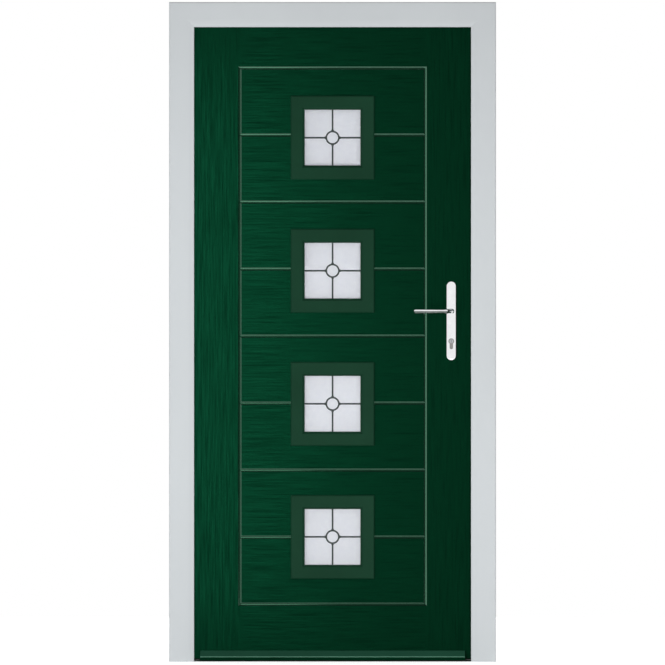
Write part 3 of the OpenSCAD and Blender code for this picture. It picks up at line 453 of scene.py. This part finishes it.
def smooth_green_finish(name, green, gloss):
    """Smooth painted plastic with a fine stipple."""
    finish, tree, shader, place = start_finish(name)
    drift = stretched_noise(tree, place, (5, 5, 5), detail=3, row=1)
    stipple = stretched_noise(tree, place, (1300, 1300, 1300), detail=3, row=-1)
    tone = tone_ramp(tree, drift, *shades(green, 0.9, 1.1), row=1)
    tree.links.new(tone, shader.inputs["Base Color"])
    vary_roughness(tree, shader, stipple, low=0.3, high=0.42, row=0)
    add_bump(tree, shader, stipple, distance=0.00006, row=-1)
    shader.inputs["Specular IOR Level"].default_value = gloss
    return finish


def groove_finish():
    """Smooth glossy paint on the flanks of the grooves, darker than the skins as painted shade in the
    grooves.
    """
    tones = shades(bpy.context.scene.front_door_finishes.shaded_groove_green, 0.8, 1.2)
    finish, shader = patterned_finish(
        "shaded_green_groove", tones, scale=(12, 12, 12), roughness=(0.1, 0.16), detail=3
    )
    shader.inputs["IOR"].default_value = 1.8
    shader.inputs["Specular IOR Level"].default_value = 0.9
    shader.inputs["Specular Tint"].default_value = (0.5, 1.0, 0.72, 1)
    return finish


def glass_finish():
    """Obscured glass: pale, part clear, with a rolled stipple."""
    tint = bpy.context.scene.front_door_finishes.glass_tint
    finish, tree, shader, place = start_finish("obscured_glass")
    mapping = add_node(tree, "ShaderNodeMapping", (-3, -1))
    mapping.inputs["Scale"].default_value = (260, 260, 260)
    cells = add_node(tree, "ShaderNodeTexVoronoi", (-2, -1), Scale=1.0, feature="SMOOTH_F1")
    tree.links.new(place, mapping.inputs["Vector"])
    tree.links.new(mapping.outputs["Vector"], cells.inputs["Vector"])
    drift = stretched_noise(tree, place, (60, 60, 60), detail=4, row=1)
    tone = tone_ramp(tree, drift, *shades(tint, 0.97, 1.02), row=1)
    tree.links.new(tone, shader.inputs["Base Color"])
    add_bump(tree, shader, cells.outputs["Distance"], distance=0.0004, row=-1, strength=0.5)
    shader.inputs["Roughness"].default_value = 0.32
    shader.inputs["Transmission Weight"].default_value = 0.36
    shader.inputs["IOR"].default_value = 1.45
    shader.inputs["Specular IOR Level"].default_value = 0.3
    return finish


def lead_finish():
    """Dull lead with a hand-worked skin."""
    tones = shades(bpy.context.scene.front_door_finishes.lead_grey, 0.7, 1.3)
    finish, shader = patterned_finish(
        "dull_lead", tones, scale=(90, 90, 90), roughness=(0.42, 0.62), relief=0.0002, strength=0.6
    )
    shader.inputs["Metallic"].default_value = 0.4
    return finish


def metal_finish(name, colour, roughness, streaks, relief):
    """A metal with streaks that follow a scale for each axis."""
    tones = shades(colour, 0.94, 1.03)
    finish, shader = patterned_finish(name, tones, streaks, roughness, relief, strength=0.4)
    shader.inputs["Metallic"].default_value = 1.0
    return finish


def rubber_finish():
    """Matt black rubber."""
    tones = ((0.006, 0.006, 0.006), (0.018, 0.018, 0.018))
    finish, _ = patterned_finish(
        "black_rubber", tones, scale=(160, 160, 160), roughness=(0.6, 0.8), relief=0.0001, strength=0.5
    )
    return finish


def timber_finish():
    """Pale sawn timber with its grain along the height."""
    tones = ((0.36, 0.21, 0.095), (0.60, 0.41, 0.22))
    finish, _ = patterned_finish(
        "pale_timber", tones, scale=(120, 120, 3), roughness=(0.6, 0.75), relief=0.0003, strength=0.6,
        detail=6,
    )
    return finish


def foam_finish():
    """Cream rigid foam with small cells."""
    tones = ((0.62, 0.55, 0.32), (0.80, 0.74, 0.5))
    finish, _ = patterned_finish(
        "cream_foam", tones, scale=(500, 500, 500), roughness=(0.8, 0.95), relief=0.0005, strength=0.7
    )
    return finish


def make_finishes():
    """Every finish, by the record's material slot or, where a piece has two, by its own name."""
    colours = bpy.context.scene.front_door_finishes
    return {
        "frame_plastic": frame_finish(),
        "green_skin": grain_finish(),
        "shaded_green_groove": groove_finish(),
        "green_cassette": smooth_green_finish("green_cassette", colours.cassette_green, gloss=0.05),
        # The bar's paler green is painted light, and its nose's pale green a painted highlight
        "green_bar_painted_light": smooth_green_finish("green_bar_painted_light", colours.painted_light_bar_green, gloss=0.12),
        "painted_nose_highlight": smooth_green_finish("painted_nose_highlight", colours.nose_highlight_green, gloss=0.3),
        "satin_nickel": metal_finish(
            "satin_nickel", (0.30, 0.295, 0.285), (0.26, 0.36), streaks=(60, 60, 60), relief=0.00002
        ),
        "frosted_glass": glass_finish(),
        "lead": lead_finish(),
        "bright_chrome": metal_finish(
            "bright_chrome", (0.86, 0.87, 0.88), (0.07, 0.13), streaks=(40, 40, 40), relief=0.00001
        ),
        "zinc_steel": metal_finish(
            "zinc_plated_steel", (0.55, 0.56, 0.58), (0.28, 0.42), streaks=(30, 30, 400), relief=0.00004
        ),
        "threshold_metal": metal_finish(
            "mill_aluminium", (0.66, 0.67, 0.68), (0.26, 0.4), streaks=(5, 500, 500), relief=0.00004
        ),
        "seal_rubber": rubber_finish(),
        "pale_timber": timber_finish(),
        "core_foam": foam_finish(),
    }


def finish_for(node):
    """The finish of a CAD node."""
    return FINISHES[SLOT_OF[node]]


def place_piece(name, shape, node, finish):
    """A finished mesh as a piece that rides with a CAD node's body and stands for that node."""
    mesh = bpy.data.meshes.new(name)
    shape.to_mesh(mesh)
    shape.free()
    mesh.materials.append(finish)
    mesh.shade_smooth()
    mesh.set_sharp_from_angle(angle=SMOOTH_ANGLE)
    piece = bpy.data.objects.new(name, mesh)
    bpy.context.scene.collection.objects.link(piece)
    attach(piece, BODY_OF[node])
    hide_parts(node)
    return piece


def steady_normals(piece):
    """Keeps flat faces flat beside softened edges."""
    steady = piece.modifiers.new("steady normals", "WEIGHTED_NORMAL")
    steady.keep_sharp = True
    steady.weight = 80


def merged_shape(node):
    """A CAD node's mesh with its loose triangles joined and its flat faces made whole."""
    shape = bmesh.new()
    shape.from_mesh(frame["nodes"][node].data)
    bmesh.ops.remove_doubles(shape, verts=shape.verts[:], dist=MERGE)
    bmesh.ops.dissolve_limit(
        shape, angle_limit=FLAT_ANGLE, verts=shape.verts[:], edges=shape.edges[:]
    )
    return shape


def edge_middle(edge):
    """The middle of an edge."""
    return (edge.verts[0].co + edge.verts[1].co) / 2


def away_from_seams(edges):
    """The edges that have no twin across a hairline seam."""
    tree = KDTree(len(edges))
    for index, edge in enumerate(edges):
        tree.insert(edge_middle(edge), index)
    tree.balance()
    return [edge for edge in edges if len(tree.find_range(edge_middle(edge), SEAM)) == 1]


def crisp_edges(shape):
    """The edges at which two faces meet at a crisp angle."""
    return [
        edge for edge in shape.edges
        if len(edge.link_faces) == 2 and edge.calc_face_angle() > CRISP_ANGLE
    ]


def round_edges(shape, edges, width, segments):
    """Rounds some edges of a shape."""
    bmesh.ops.bevel(
        shape, geom=edges, offset=width, offset_type="OFFSET", segments=segments, profile=0.5,
        affect="EDGES", clamp_overlap=True, material=-1,
    )


def soften_edges(shape, width, segments):
    """Rounds every crisp edge of a shape, apart from the edges along seams."""
    round_edges(shape, away_from_seams(crisp_edges(shape)), width, segments)


def open_rim(shape, axis, outer, width):
    """Rounds the outer rim of the cylinder's hole in a plate more than the plate's other edges."""
    rim = [
        edge for edge in crisp_edges(shape)
        if all(math.hypot(vert.co.x - axis.x, vert.co.z - axis.z) < CYLINDER_REACH for vert in edge.verts)
        and all(abs(vert.co.y) > outer for vert in edge.verts)
    ]
    round_edges(shape, rim, width, segments=3)


def softened_copy(node, width, segments=2, finish=None, shape=None):
    """A copy of a CAD node with softened edges, which stands for it."""
    shape = shape or merged_shape(node)
    soften_edges(shape, width, segments)
    piece = place_piece(f"{node}_softened", shape, node, finish or finish_for(node))
    steady_normals(piece)
    return piece


class DOOR_OT_finishes(bpy.types.Operator):
    """Make the finishes and give them to the CAD nodes"""

    bl_idname = "door.finishes"
    bl_label = "Finishes"

    def execute(self, context):
        FINISHES.update(make_finishes())
        for node, piece in frame["nodes"].items():
            piece.data.materials.clear()
            piece.data.materials.append(finish_for(node))
        return {"FINISHED"}


class DOOR_OT_frame(bpy.types.Operator):
    """Soften the edges of the jambs and the head"""

    bl_idname = "door.frame"
    bl_label = "Frame"

    def execute(self, context):
        width = context.scene.front_door_sizes.frame_edge
        for node in ("hinge_jamb", "lock_jamb", "frame_head"):
            softened_copy(node, width)
        return {"FINISHED"}


def paint_grooves(piece, side):
    """Gives the sloping flanks of the grooves on one face of a skin their smooth finish, whose darker green
    is painted shade.
    """
    mesh = piece.data
    mesh.materials.append(FINISHES["shaded_green_groove"])
    low, high = OUT_SKIN
    for face in mesh.polygons:
        leans = FLANK_LEAN[0] < face.normal.y * side < FLANK_LEAN[1]
        across = low.x + EDGE_BAND < face.center.x < high.x - EDGE_BAND
        upright = low.z + EDGE_BAND < face.center.z < high.z - EDGE_BAND
        if leans and across and upright:
            face.material_index = 1


class DOOR_OT_skins(bpy.types.Operator):
    """Soften the edges of the moulded grooves and give their flanks a darker green as painted shade"""

    bl_idname = "door.skins"
    bl_label = "Skins"

    def execute(self, context):
        width = context.scene.front_door_sizes.skin_edge
        for node, side in (("outer_skin", -1), ("inner_skin", 1)):
            paint_grooves(softened_copy(node, width), side)
        return {"FINISHED"}


def paint_bar(piece):
    """Gives the weather bar a painted highlight along its nose, above a lip in the skins' darker green."""
    mesh = piece.data
    mesh.materials.append(FINISHES["painted_nose_highlight"])
    mesh.materials.append(FINISHES["green_skin"])
    low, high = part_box("weather_bar")
    nose_top = low.z + NOSE_SHARE * (high.z - low.z)
    for face in mesh.polygons:
        if face.center.z > nose_top:
            continue
        if face.normal.y < LIP_LEAN:
            face.material_index = 2
        # Forward and upward leaning faces low on the bar form the nose and get the painted highlight
        elif face.normal.y < NOSE_LEAN and face.normal.z > 0:
            face.material_index = 1


class DOOR_OT_cassettes(bpy.types.Operator):
    """Soften the edges of the glazing cassettes and the weather bar, whose paler green is painted light"""

    bl_idname = "door.cassettes"
    bl_label = "Cassettes and weather bar"

    def execute(self, context):
        width = context.scene.front_door_sizes.cassette_edge
        green = FINISHES["green_cassette"]
        for light in LIGHTS:
            softened_copy(f"outer_cassette_{light}", width, segments=3, finish=green)
            softened_copy(f"inner_cassette_{light}", width, segments=3, finish=green)
        # The bar's paler green is painted light from above, with a painted highlight along its nose
        paint_bar(softened_copy("weather_bar", width, segments=3, finish=FINISHES["green_bar_painted_light"]))
        return {"FINISHED"}


def runs_along(edge, way):
    """Whether an edge runs along a way."""
    span = edge.verts[1].co - edge.verts[0].co
    return abs(span.normalized().dot(way.normalized())) > ALONG_MATCH


def lead_bar(shape, start, end, width, thickness):
    """One round-topped bar of lead between two points on the glass."""
    along = end - start
    middle = (start + end) / 2 - Vector((0, thickness / 2, 0))
    upright = abs(along.z) > abs(along.x)
    size = (width, thickness, along.length) if upright else (along.length, thickness, width)
    matrix = Matrix.LocRotScale(middle, None, size)
    corners = set(bmesh.ops.create_cube(shape, size=1, matrix=matrix)["verts"])
    rim = [
        edge for edge in shape.edges
        if corners.issuperset(edge.verts) and runs_along(edge, along)
        and all(vert.co.y < middle.y for vert in edge.verts)
    ]
    round_edges(shape, rim, thickness * BAR_ROUNDING, segments=4)


def lead_ring(shape, centre, radius, width, thickness):
    """A round-topped ring of lead, spun about its centre on the glass."""
    rim = []
    for step in range(RING_ARC):
        turn = math.pi * step / (RING_ARC - 1)
        reach = radius - width / 2 + math.cos(turn) * width / 2
        rim.append(shape.verts.new(centre + Vector((reach, -math.sin(turn) * thickness, 0))))
    outline = [shape.edges.new(pair) for pair in zip(rim, rim[1:] + rim[:1])]
    bmesh.ops.spin(
        shape, geom=rim + outline, cent=centre, axis=(0, 1, 0), angle=math.tau, steps=RING_STEPS,
        use_merge=True, use_duplicate=False,
    )


def solder_joint(shape, place, size):
    """A low blob of solder over a joint of the lead."""
    matrix = Matrix.LocRotScale(place, None, size)
    bmesh.ops.create_uvsphere(shape, u_segments=14, v_segments=8, radius=1, matrix=matrix)


class DOOR_OT_lead(bpy.types.Operator):
    """Lay round-topped lead bars, a ring and soldered joints on each pane"""

    bl_idname = "door.lead"
    bl_label = "Lead"

    def execute(self, context):
        sizes = context.scene.front_door_sizes
        width = sizes.lead_width
        ring = sizes.ring_radius
        for light in LIGHTS:
            low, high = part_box(f"lead_strip_{light}")
            half = (high.x - low.x) / 2
            thickness = high.y - low.y
            solder = (width * SOLDER_WIDTH, thickness * SOLDER_HEIGHT, width * SOLDER_WIDTH)
            centre = Vector(((low.x + high.x) / 2, high.y, (low.z + high.z) / 2))
            shape = bmesh.new()
            for x, z in ((1, 0), (0, 1), (-1, 0), (0, -1)):
                way = Vector((x, 0, z))
                start = centre + way * (ring - width / 2)
                lead_bar(shape, start, centre + way * half, width, thickness * BAR_HEIGHT)
                solder_joint(shape, centre + way * ring, solder)
            lead_ring(shape, centre, ring, width, thickness)
            bmesh.ops.recalc_face_normals(shape, faces=shape.faces[:])
            place_piece(f"lead_came_{light}", shape, f"lead_strip_{light}", FINISHES["lead"])
        return {"FINISHED"}


def between(start, end, share):
    """A value some share of the way between two others."""
    return start + (end - start) * share


def lever_path(bend, slant):
    """Reach, rise and turn along a neck that bends, slants and bends again."""
    half = math.pi / 4
    path = []
    for step in range(1, BEND_STEPS + 1):
        turn = half * step / BEND_STEPS
        path.append((bend * (1 - math.cos(turn)), bend * math.sin(turn), turn))
    for step in range(BEND_STEPS + 1):
        turn = half + half * step / BEND_STEPS
        path.append((slant + bend * (1 - math.cos(turn)), slant + bend * math.sin(turn), turn))
    return path


def neck_sections(sizes):
    """The lever's sections from its collar through the two bends to the start of its grip."""
    low, high = LEVER_BOX
    neck = (high.z - low.z) / 2
    start = low.y - INSIDE_FACE
    out = high.y - INSIDE_FACE
    bend = sizes.elbow_radius
    slant = sizes.elbow_slant
    foot = out - sizes.grip_depth - bend - slant
    rows = [Section(0, place, 0, neck, neck) for place in (start, start + NECK_COLLAR, foot)]
    path = lever_path(bend, slant)
    for step, (reach, rise, turn) in enumerate(path, 1):
        share = NECK_SHARE * step / len(path)
        height = between(neck, sizes.grip_root, share)
        depth = between(neck, sizes.grip_depth, share)
        away = min(foot + rise, out - depth * math.sin(turn))
        rows.append(Section(reach, away, turn, height, depth))
    for ease, share in GRIP_EASES:
        height = between(neck, sizes.grip_root, share)
        depth = between(neck, sizes.grip_depth, share)
        rows.append(Section(bend + slant + ease, out - depth, math.pi / 2, height, depth))
    return rows


def grip_sections(sizes, first):
    """The lever's sections along its grip, which turns back to the door from its middle on."""
    low, high = LEVER_BOX
    length = LEVER_AXIS.x - low.x
    middle = GRIP_MIDDLE * length
    end = length - sizes.grip_tip
    depth = sizes.grip_depth
    line = high.y - INSIDE_FACE - depth
    rows = []
    for step in range(1, STRAIGHT_STEPS + 1):
        share = step / STRAIGHT_STEPS
        height = between(sizes.grip_root, sizes.grip_tip, share / 2)
        rows.append(Section(between(first, middle, share), line, math.pi / 2, height, depth))
    for step in range(1, DROP_STEPS + 1):
        share = step / DROP_STEPS
        height = between(sizes.grip_root, sizes.grip_tip, (1 + share) / 2)
        away = line - sizes.grip_drop * share * share
        turn = math.pi / 2 + TIP_LEAN * share
        rows.append(Section(between(middle, end, share), away, turn, height, depth))
    for step in range(1, TIP_STEPS + 1):
        closing = TIP_TURN * step / TIP_STEPS
        reach = end + sizes.grip_tip * math.sin(closing)
        shrink = math.cos(closing)
        height = sizes.grip_tip * shrink
        away = line - sizes.grip_drop
        rows.append(Section(reach, away, math.pi / 2 + TIP_LEAN, height, depth * shrink))
    return rows


def section_matrix(section, side):
    """Where a unit circle goes for one section of a lever on one side of the door."""
    face = INSIDE_FACE if side > 0 else OUT_SKIN[0].y
    place = Vector((LEVER_AXIS.x - section.reach, face + side * section.out, LEVER_AXIS.z))
    ahead = Vector((-math.sin(section.turn), side * math.cos(section.turn), 0))
    across = Vector((0, 0, 1))
    third = ahead.cross(across)
    turn_matrix = Matrix((third, across, ahead)).transposed().to_4x4()
    scale = Matrix.Diagonal((section.half_depth, section.half_height, 1, 1))
    return Matrix.Translation(place) @ turn_matrix @ scale


def shape_grip(verts, matrix, side):
    """Makes a section fuller at the upper outside and cuts its lower outside to a flat slope."""
    back = matrix.inverted()
    for vert in verts:
        place = back @ vert.co
        outward = place.x * side
        if outward < 0:
            continue
        power = 1 if place.y < 0 else GRIP_POWER
        spread = (outward ** power + abs(place.y) ** power) ** (1 / power)
        vert.co = matrix @ Vector((place.x / spread, place.y / spread, place.z))


def lever_shape(sizes, side):
    """A lever drawn out section by section, round at its neck and shaped from its first bend on."""
    rows = neck_sections(sizes)
    rows += grip_sections(sizes, rows[-1].reach)
    shaped = next(row for row in rows if row.turn > SHAPED_TURN)
    shape = bmesh.new()
    first = section_matrix(rows[0], side)
    bmesh.ops.create_circle(shape, cap_ends=True, radius=1, segments=SECTION_POINTS, matrix=first)
    rim = shape.edges[:]
    for before, after in zip(rows, rows[1:]):
        drawn = bmesh.ops.extrude_edge_only(shape, edges=rim)["geom"]
        verts = [item for item in drawn if isinstance(item, bmesh.types.BMVert)]
        rim = [item for item in drawn if isinstance(item, bmesh.types.BMEdge)]
        step = section_matrix(after, side) @ section_matrix(before, side).inverted()
        bmesh.ops.transform(shape, matrix=step, verts=verts)
        if after is shaped:
            shape_grip(verts, section_matrix(after, side), side)
    bmesh.ops.contextual_create(shape, geom=rim)
    bmesh.ops.recalc_face_normals(shape, faces=shape.faces[:])
    return shape


class DOOR_OT_levers(bpy.types.Operator):
    """Draw the two levers as smooth bent bars"""

    bl_idname = "door.levers"
    bl_label = "Levers"

    def execute(self, context):
        sizes = context.scene.front_door_sizes
        for node, side in (("outside_lever", -1), ("inside_lever", 1)):
            place_piece(f"{node}_bent", lever_shape(sizes, side), node, FINISHES["bright_chrome"])
        return {"FINISHED"}


class DOOR_OT_hardware(bpy.types.Operator):
    """Soften the edges of the plates, the cylinder, the hinges and the lock"""

    bl_idname = "door.hardware"
    bl_label = "Hardware"

    def execute(self, context):
        sizes = context.scene.front_door_sizes
        width = sizes.metal_edge
        low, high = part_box("key_plug")
        axis = (low + high) / 2
        for node in ("outside_handle_plate", "inside_handle_plate"):
            low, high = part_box(node)
            shape = merged_shape(node)
            open_rim(shape, axis, abs(low.y + high.y) / 2, sizes.rim_edge)
            softened_copy(node, width, shape=shape)
        nodes = ["thumb_turn", "lock_faceplate", "latch_bolt", "dead_bolt"]
        nodes += ["lower_keep_plate", "middle_keep_plate", "upper_keep_plate"]
        nodes += ["upper_hook", "lower_hook", "hinge_pins"]
        for hinge in HINGES:
            nodes += [f"hinge_frame_leaf_{hinge}", f"hinge_door_leaf_{hinge}"]
        for node in nodes:
            softened_copy(node, width)
        softened_copy("cylinder_body", width, finish=FINISHES["satin_nickel"])
        softened_copy("key_plug", width)
        return {"FINISHED"}


def aim(item, target):
    """Turns a lamp towards a point."""
    item.rotation_euler = (Vector(target) - item.location).to_track_quat("-Z", "Y").to_euler()


def add_lamp(name, place, target, size, power, mirrored=False):
    """A soft lamp of a width and height that faces a point, and may show in gloss."""
    lamp = bpy.data.lights.new(name, "AREA")
    lamp.shape = "RECTANGLE"
    lamp.size, lamp.size_y = size
    lamp.energy = power
    item = bpy.data.objects.new(name, lamp)
    bpy.context.scene.collection.objects.link(item)
    item.location = place
    item.visible_camera = False
    item.visible_glossy = mirrored
    aim(item, target)
    return item


def share_light(lamp, pieces, state):
    """Gives a lamp's light to some pieces alone, or to every piece but those."""
    group = bpy.data.collections.new(f"{lamp.name}_pieces")
    for piece in pieces:
        group.objects.link(piece)
    for member in group.collection_objects:
        member.light_linking.link_state = state
    lamp.light_linking.receiver_collection = group


def place_lamps(stage):
    """The four lamps: the strip lights the two skins alone, and the even one all the rest."""
    add_lamp("key_low_left", KEY_PLACE, DOOR_MIDDLE, KEY_SIZE, stage.key_power)
    strip = add_lamp(
        "strip_in_front", STRIP_PLACE, LEFT_PLANKS, STRIP_SIZE, stage.strip_power, mirrored=True
    )
    even = add_lamp("even_low_front", FILL_PLACE, DOOR_MIDDLE, FILL_SIZE, stage.fill_power)
    add_lamp("soft_inside", BACK_PLACE, DOOR_MIDDLE, BACK_SIZE, stage.back_power)
    skins = [bpy.data.objects[f"{side}_skin_softened"] for side in ("outer", "inner")]
    share_light(strip, skins, "INCLUDE")
    share_light(even, skins, "EXCLUDE")


def seen_directly(tree, row):
    """1 for rays that show the surroundings: from the camera, off gloss or through glass."""
    path = add_node(tree, "ShaderNodeLightPath", (-3, row))
    gloss = add_node(tree, "ShaderNodeMath", (-2, row), operation="MAXIMUM")
    both = add_node(tree, "ShaderNodeMath", (-1, row), operation="MAXIMUM")
    tree.links.new(path.outputs["Is Camera Ray"], gloss.inputs[0])
    tree.links.new(path.outputs["Is Glossy Ray"], gloss.inputs[1])
    tree.links.new(gloss.outputs["Value"], both.inputs[0])
    tree.links.new(path.outputs["Is Transmission Ray"], both.inputs[1])
    return both.outputs["Value"]


def smooth_rise(tree, factor, spread, low, place):
    """A smooth rise from a low value to 1 while a factor crosses a spread."""
    rise = add_node(tree, "ShaderNodeMapRange", place, interpolation_type="SMOOTHSTEP")
    rise.inputs["From Min"].default_value = spread[0]
    rise.inputs["From Max"].default_value = spread[1]
    rise.inputs["To Min"].default_value = low
    tree.links.new(factor, rise.inputs["Value"])
    return rise.outputs["Result"]


def gloss_level(tree):
    """What gloss shows of the room: white front and back, dark sides and light at the low left."""
    way = add_node(tree, "ShaderNodeTexCoord", (-4, -2)).outputs["Generated"]
    split = add_node(tree, "ShaderNodeSeparateXYZ", (-3, -2))
    depth = add_node(tree, "ShaderNodeMath", (-2, -2), operation="ABSOLUTE")
    lean = add_node(tree, "ShaderNodeVectorMath", (-2, -3), operation="DOT_PRODUCT")
    lean.inputs[1].default_value = LOW_LEFT_WAY
    brighter = add_node(tree, "ShaderNodeMath", (0, -2), operation="MAXIMUM")
    tree.links.new(way, split.inputs["Vector"])
    tree.links.new(way, lean.inputs[0])
    tree.links.new(split.outputs["Y"], depth.inputs[0])
    wall = smooth_rise(tree, depth.outputs["Value"], WALL_SPREAD, SIDE_LEVEL, (-1, -2))
    low_left = smooth_rise(tree, lean.outputs["Value"], LOW_LEFT_SPREAD, 0, (-1, -3))
    tree.links.new(wall, brighter.inputs[0])
    tree.links.new(low_left, brighter.inputs[1])
    return brighter.outputs["Value"]


def make_room(level):
    """Even light all round, white where it is seen, with darker sides in what gloss shows."""
    room = bpy.data.worlds.new("white_room")
    bpy.context.scene.world = room
    room.use_nodes = True
    tree = room.node_tree
    tree.nodes.clear()
    output = add_node(tree, "ShaderNodeOutputWorld", (2, 0))
    light = add_node(tree, "ShaderNodeBackground", (1, 0))
    light.inputs["Color"].default_value = (1, 1, 1, 1)
    path = add_node(tree, "ShaderNodeLightPath", (-2, -5))
    shown = add_node(tree, "ShaderNodeMix", (-1, -5))
    shown.inputs["A"].default_value = 1.0
    tree.links.new(path.outputs["Is Glossy Ray"], shown.inputs["Factor"])
    tree.links.new(gloss_level(tree), shown.inputs["B"])
    strength = add_node(tree, "ShaderNodeMapRange", (0, 0))
    strength.inputs["To Min"].default_value = level
    tree.links.new(seen_directly(tree, 0), strength.inputs["Value"])
    tree.links.new(shown.outputs["Result"], strength.inputs["To Max"])
    tree.links.new(strength.outputs["Result"], light.inputs["Strength"])
    tree.links.new(light.outputs["Background"], output.inputs["Surface"])


def floor_finish(level):
    """Pale floor that takes shadows and is lifted towards white where it is seen."""
    finish = bpy.data.materials.new("pale_floor")
    finish.use_nodes = True
    tree = finish.node_tree
    tree.nodes.clear()
    output = add_node(tree, "ShaderNodeOutputMaterial", (3, 0))
    both = add_node(tree, "ShaderNodeAddShader", (2, 0))
    matt = add_node(tree, "ShaderNodeBsdfDiffuse", (1, 1))
    matt.inputs["Color"].default_value = FLOOR_GREY
    glow = add_node(tree, "ShaderNodeEmission", (1, -1))
    strength = add_node(tree, "ShaderNodeMapRange", (0, -1))
    strength.inputs["To Min"].default_value = 0
    strength.inputs["To Max"].default_value = level
    tree.links.new(seen_directly(tree, -1), strength.inputs["Value"])
    tree.links.new(strength.outputs["Result"], glow.inputs["Strength"])
    tree.links.new(matt.outputs["BSDF"], both.inputs[0])
    tree.links.new(glow.outputs["Emission"], both.inputs[1])
    tree.links.new(both.outputs["Shader"], output.inputs["Surface"])
    return finish


def lay_floor(level):
    """The floor, which belongs to the stage and not to the door."""
    shape = bmesh.new()
    bmesh.ops.create_grid(shape, x_segments=1, y_segments=1, size=FLOOR_REACH)
    mesh = bpy.data.meshes.new("floor")
    shape.to_mesh(mesh)
    shape.free()
    mesh.materials.append(floor_finish(level))
    floor = bpy.data.objects.new("floor", mesh)
    bpy.context.scene.collection.objects.link(floor)


def place_camera(stage):
    """A camera straight in front, far enough off for the view's width at the frame's face."""
    lens = bpy.data.cameras.new("front_view")
    lens.lens = stage.lens
    lens.sensor_width = SENSOR_WIDTH
    lens.clip_end = VIEW_REACH
    camera = bpy.data.objects.new("front_view", lens)
    bpy.context.scene.collection.objects.link(camera)
    distance = stage.view_width * stage.lens / SENSOR_WIDTH
    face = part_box("hinge_jamb")[0].y
    camera.location = (stage.view_x, face - distance, stage.view_z)
    camera.rotation_euler = (math.pi / 2, 0, 0)
    bpy.context.scene.camera = camera


class DOOR_OT_stage(bpy.types.Operator):
    """Set the floor, the room, the lamps and the camera"""

    bl_idname = "door.stage"
    bl_label = "Stage"

    def execute(self, context):
        stage = context.scene.front_door_stage
        context.scene.view_settings.view_transform = "Standard"
        make_room(stage.room_level)
        lay_floor(stage.floor_level)
        place_lamps(stage)
        place_camera(stage)
        return {"FINISHED"}


STEPS = (
    DOOR_OT_finishes, DOOR_OT_frame, DOOR_OT_skins, DOOR_OT_cassettes, DOOR_OT_lead,
    DOOR_OT_levers, DOOR_OT_hardware, DOOR_OT_stage,
)


class DOOR_PT_dressing(bpy.types.Panel):
    """Lists the steps that dress the door"""

    bl_idname = "DOOR_PT_dressing"
    bl_label = "Front door"
    bl_space_type = "VIEW_3D"
    bl_region_type = "UI"
    bl_category = "Door"

    def draw(self, context):
        for step in STEPS:
            self.layout.operator(step.bl_idname)


GROUPS = (FrontDoorFinishes, FrontDoorSizes, FrontDoorStage)
CLASSES = (*GROUPS, *STEPS, DOOR_PT_dressing)


def register():
    for item in CLASSES:
        bpy.utils.register_class(item)
    bpy.types.Scene.front_door_finishes = bpy.props.PointerProperty(type=FrontDoorFinishes)
    bpy.types.Scene.front_door_sizes = bpy.props.PointerProperty(type=FrontDoorSizes)
    bpy.types.Scene.front_door_stage = bpy.props.PointerProperty(type=FrontDoorStage)


def unregister():
    del bpy.types.Scene.front_door_stage
    del bpy.types.Scene.front_door_sizes
    del bpy.types.Scene.front_door_finishes
    for item in reversed(CLASSES):
        bpy.utils.unregister_class(item)


def main():
    register()
    bpy.ops.door.finishes()
    bpy.ops.door.frame()
    bpy.ops.door.skins()
    bpy.ops.door.cassettes()
    bpy.ops.door.lead()
    bpy.ops.door.levers()
    bpy.ops.door.hardware()
    bpy.ops.door.stage()


if __name__ == "__main__":
    main()
